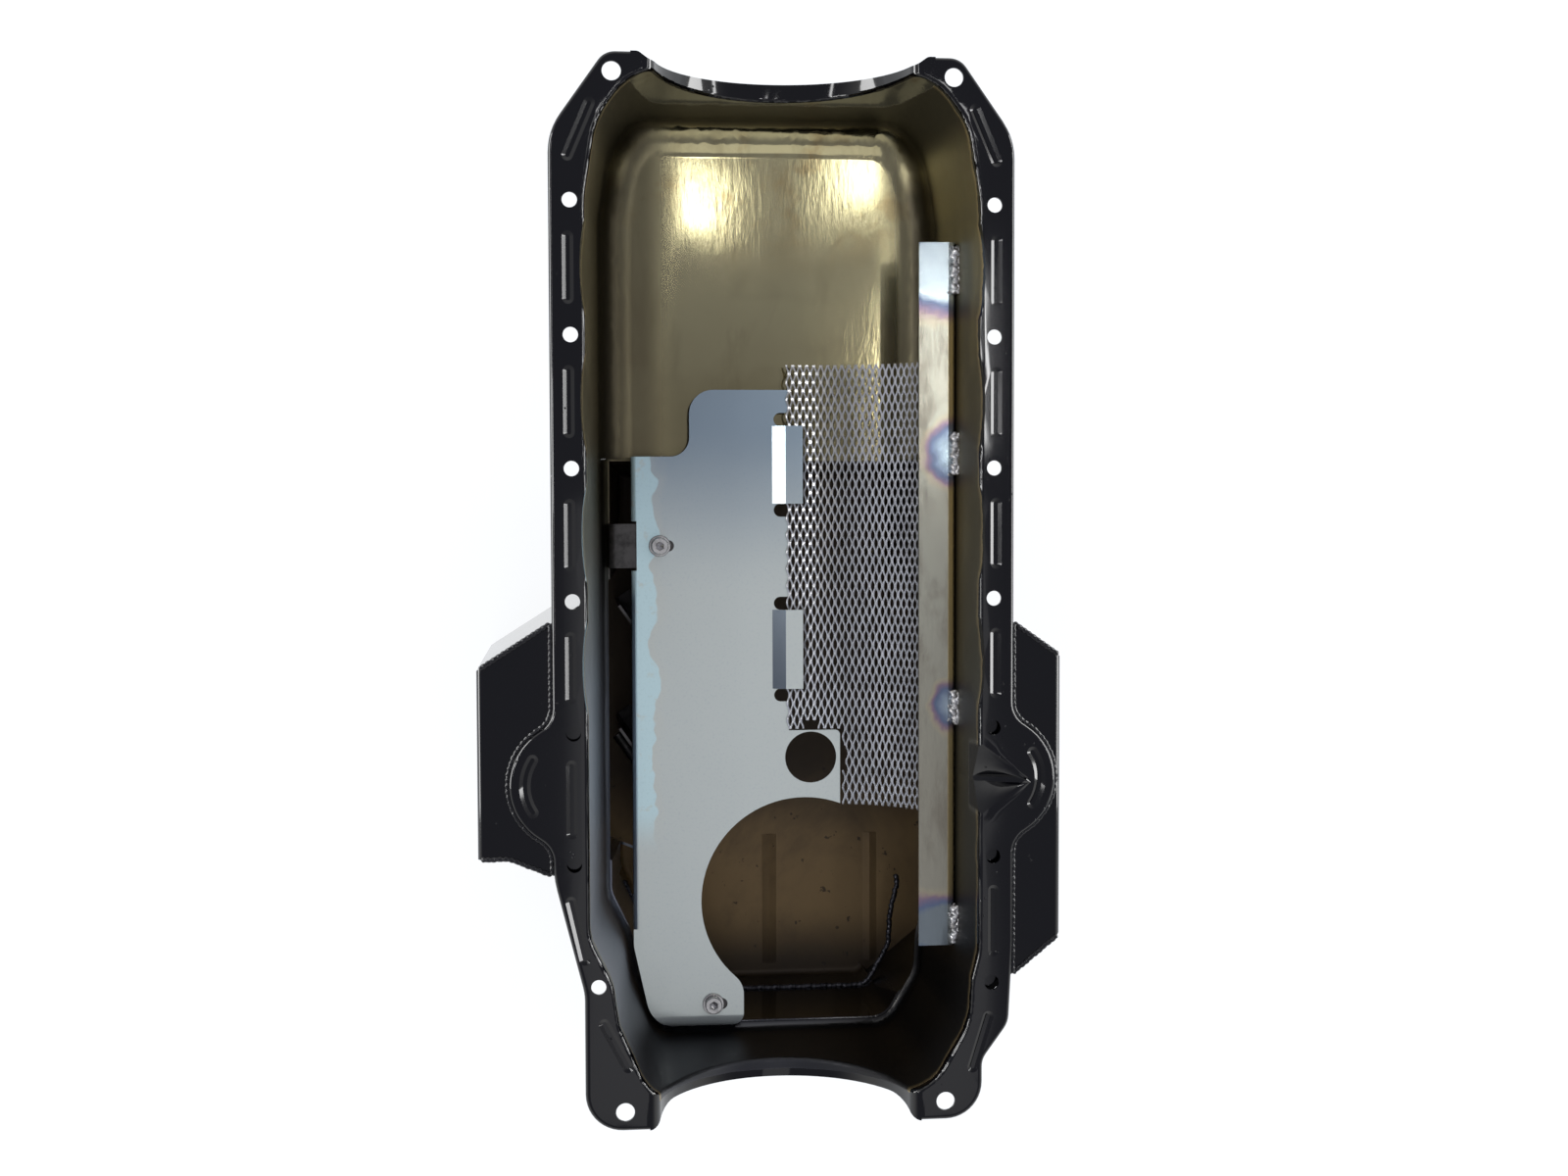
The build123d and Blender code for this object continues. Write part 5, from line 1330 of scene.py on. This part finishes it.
# ---------------------------------------------------------------- dressing
LOOK_OF_NODE = {
    "pan_shell": Look.SHEET,
    "sump_floor": Look.FLOOR,
    "sump_front_wall": Look.SHEET,
    "sump_rear_wall": Look.SHEET,
    "windage_tray": Look.PLATED,
    "tray_screen": Look.WIRE,
    "scraper_bar": Look.BAR,
    "scraper_welds": Look.WELD,
    "sump_seam_weld": Look.SEAM,
    "kickout_left_weld": Look.PAINTED_WELD,
    "kickout_right_weld": Look.PAINTED_WELD,
    "drain_washer": Look.COPPER,
    "drain_bung": Look.BRACKET,
}
LOOK_OF_FAMILY = {
    "kickout": Look.SHEET,
    "tray_bracket": Look.BRACKET,
    "baffle": Look.BRACKET,
    "trap_door": Look.BRACKET,
}
STEEL_LOOKS = {
    Look.WELD: SteelFinish("weld_metal", (0.62, 0.62, 0.62), (0.20, 0.19, 0.18), 0.28, 600.0, 0.5),
    Look.SEAM: SteelFinish("seam_metal", (0.10, 0.10, 0.11), (0.04, 0.04, 0.045), 0.3, 500.0, 0.4),
    Look.WIRE: SteelFinish("screen_wire", (0.78, 0.79, 0.80), (0.58, 0.59, 0.60), 0.22, metallic=0.7),
    Look.FASTENER: SteelFinish("fastener_steel", (0.58, 0.57, 0.55), (0.34, 0.33, 0.32), 0.22),
    Look.BRACKET: SteelFinish("bracket_steel", (0.11, 0.105, 0.10), (0.05, 0.048, 0.046), 0.4),
    Look.PAINTED_WELD: SteelFinish(
        "painted_weld", (0.004, 0.004, 0.005), (0.010, 0.010, 0.011), 0.12, 200.0, 0.3, 0.0
    ),
    Look.COPPER: SteelFinish("copper_washer", (0.6, 0.32, 0.18), (0.4, 0.2, 0.12), 0.35),
}
ROUNDED_SHEETS = (
    RoundedSheet("pan_shell"),
    RoundedSheet("windage_tray", edge_radius=0.25 * MM),
    RoundedSheet("scraper_bar", edge_radius=0.35 * MM),
    RoundedSheet("kickout_left_skin"),
    RoundedSheet("kickout_right_skin"),
)


@dataclass
class SolidDresser:
    """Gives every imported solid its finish."""

    frame: dict
    finishes: dict[Look, bpy.types.Material] = field(default_factory=dict)

    def make_finishes(self) -> None:
        """Builds every finish once."""
        self.finishes = {
            Look.SHEET: PanSheetFinish().build(),
            Look.FLOOR: FloorSteelFinish().build(),
            Look.PLATED: PlatedFinish().build(),
            Look.BAR: HeatTintedFinish().build(),
        }
        for look, finish in STEEL_LOOKS.items():
            self.finishes[look] = finish.build()

    def finish_of(self, node: str) -> bpy.types.Material:
        """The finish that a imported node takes: its own, its family's, or the fasteners'."""
        families = [look for family, look in LOOK_OF_FAMILY.items() if node.startswith(family)]
        look = LOOK_OF_NODE.get(node, families[0] if families else Look.FASTENER)
        return self.finishes[look]

    def dress(self) -> None:
        """Puts each node's finish on it, and rounds the sheets."""
        self.make_finishes()
        for name, solid in self.frame["nodes"].items():
            solid.data.materials.clear()
            solid.data.materials.append(self.finish_of(name))
            LOG.info("dressed %s", name)
        for sheet in ROUNDED_SHEETS:
            sheet.build(self.frame["nodes"][sheet.node], self.finish_of(sheet.node))


def in_metres(points: tuple[Point2, ...]) -> tuple[Point2, ...]:
    """Plan points given in millimetres."""
    return tuple((x * MM, y * MM) for x, y in points)


def kickout_welds() -> list[KickoutWeld]:
    """Both boxes' welds; an end is a row of plan points along that end plate, from the rim outward."""
    left_front = in_metres(((124.3, -13.4), (162.0, -37.4)))
    left_rear = in_metres(((124.3, -147.4), (146.8, -138.2), (162.0, -138.4)))
    right_front = in_metres(((124.3, -15.2), (149.6, -33.0)))
    right_rear = in_metres(((124.3, -207.0), (149.6, -186.4)))
    return [
        KickoutWeld("kickout_left_weld", -1, (left_front, left_rear)),
        KickoutWeld("kickout_right_weld", 1, (right_front, right_rear)),
    ]


def main() -> None:
    """Builds the pan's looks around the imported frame."""
    logging.basicConfig(level=logging.INFO, format="%(message)s")
    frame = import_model()
    dresser = SolidDresser(frame)
    dresser.dress()
    ExpandedScreen().build(dresser.finishes[Look.WIRE])
    BarWelds().build(dresser.finishes[Look.WELD])
    SeamWeld().build(frame["nodes"]["sump_seam_weld"], dresser.finishes[Look.SEAM])
    for weld in kickout_welds():
        weld.build(dresser.finishes[Look.PAINTED_WELD])
    tray_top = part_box("tray_washers")[0][2]
    SocketScrews().build(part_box("tray_screws"), tray_top, dresser.finishes[Look.FASTENER])
    Studio().build()


if __name__ == "__main__":
    main()
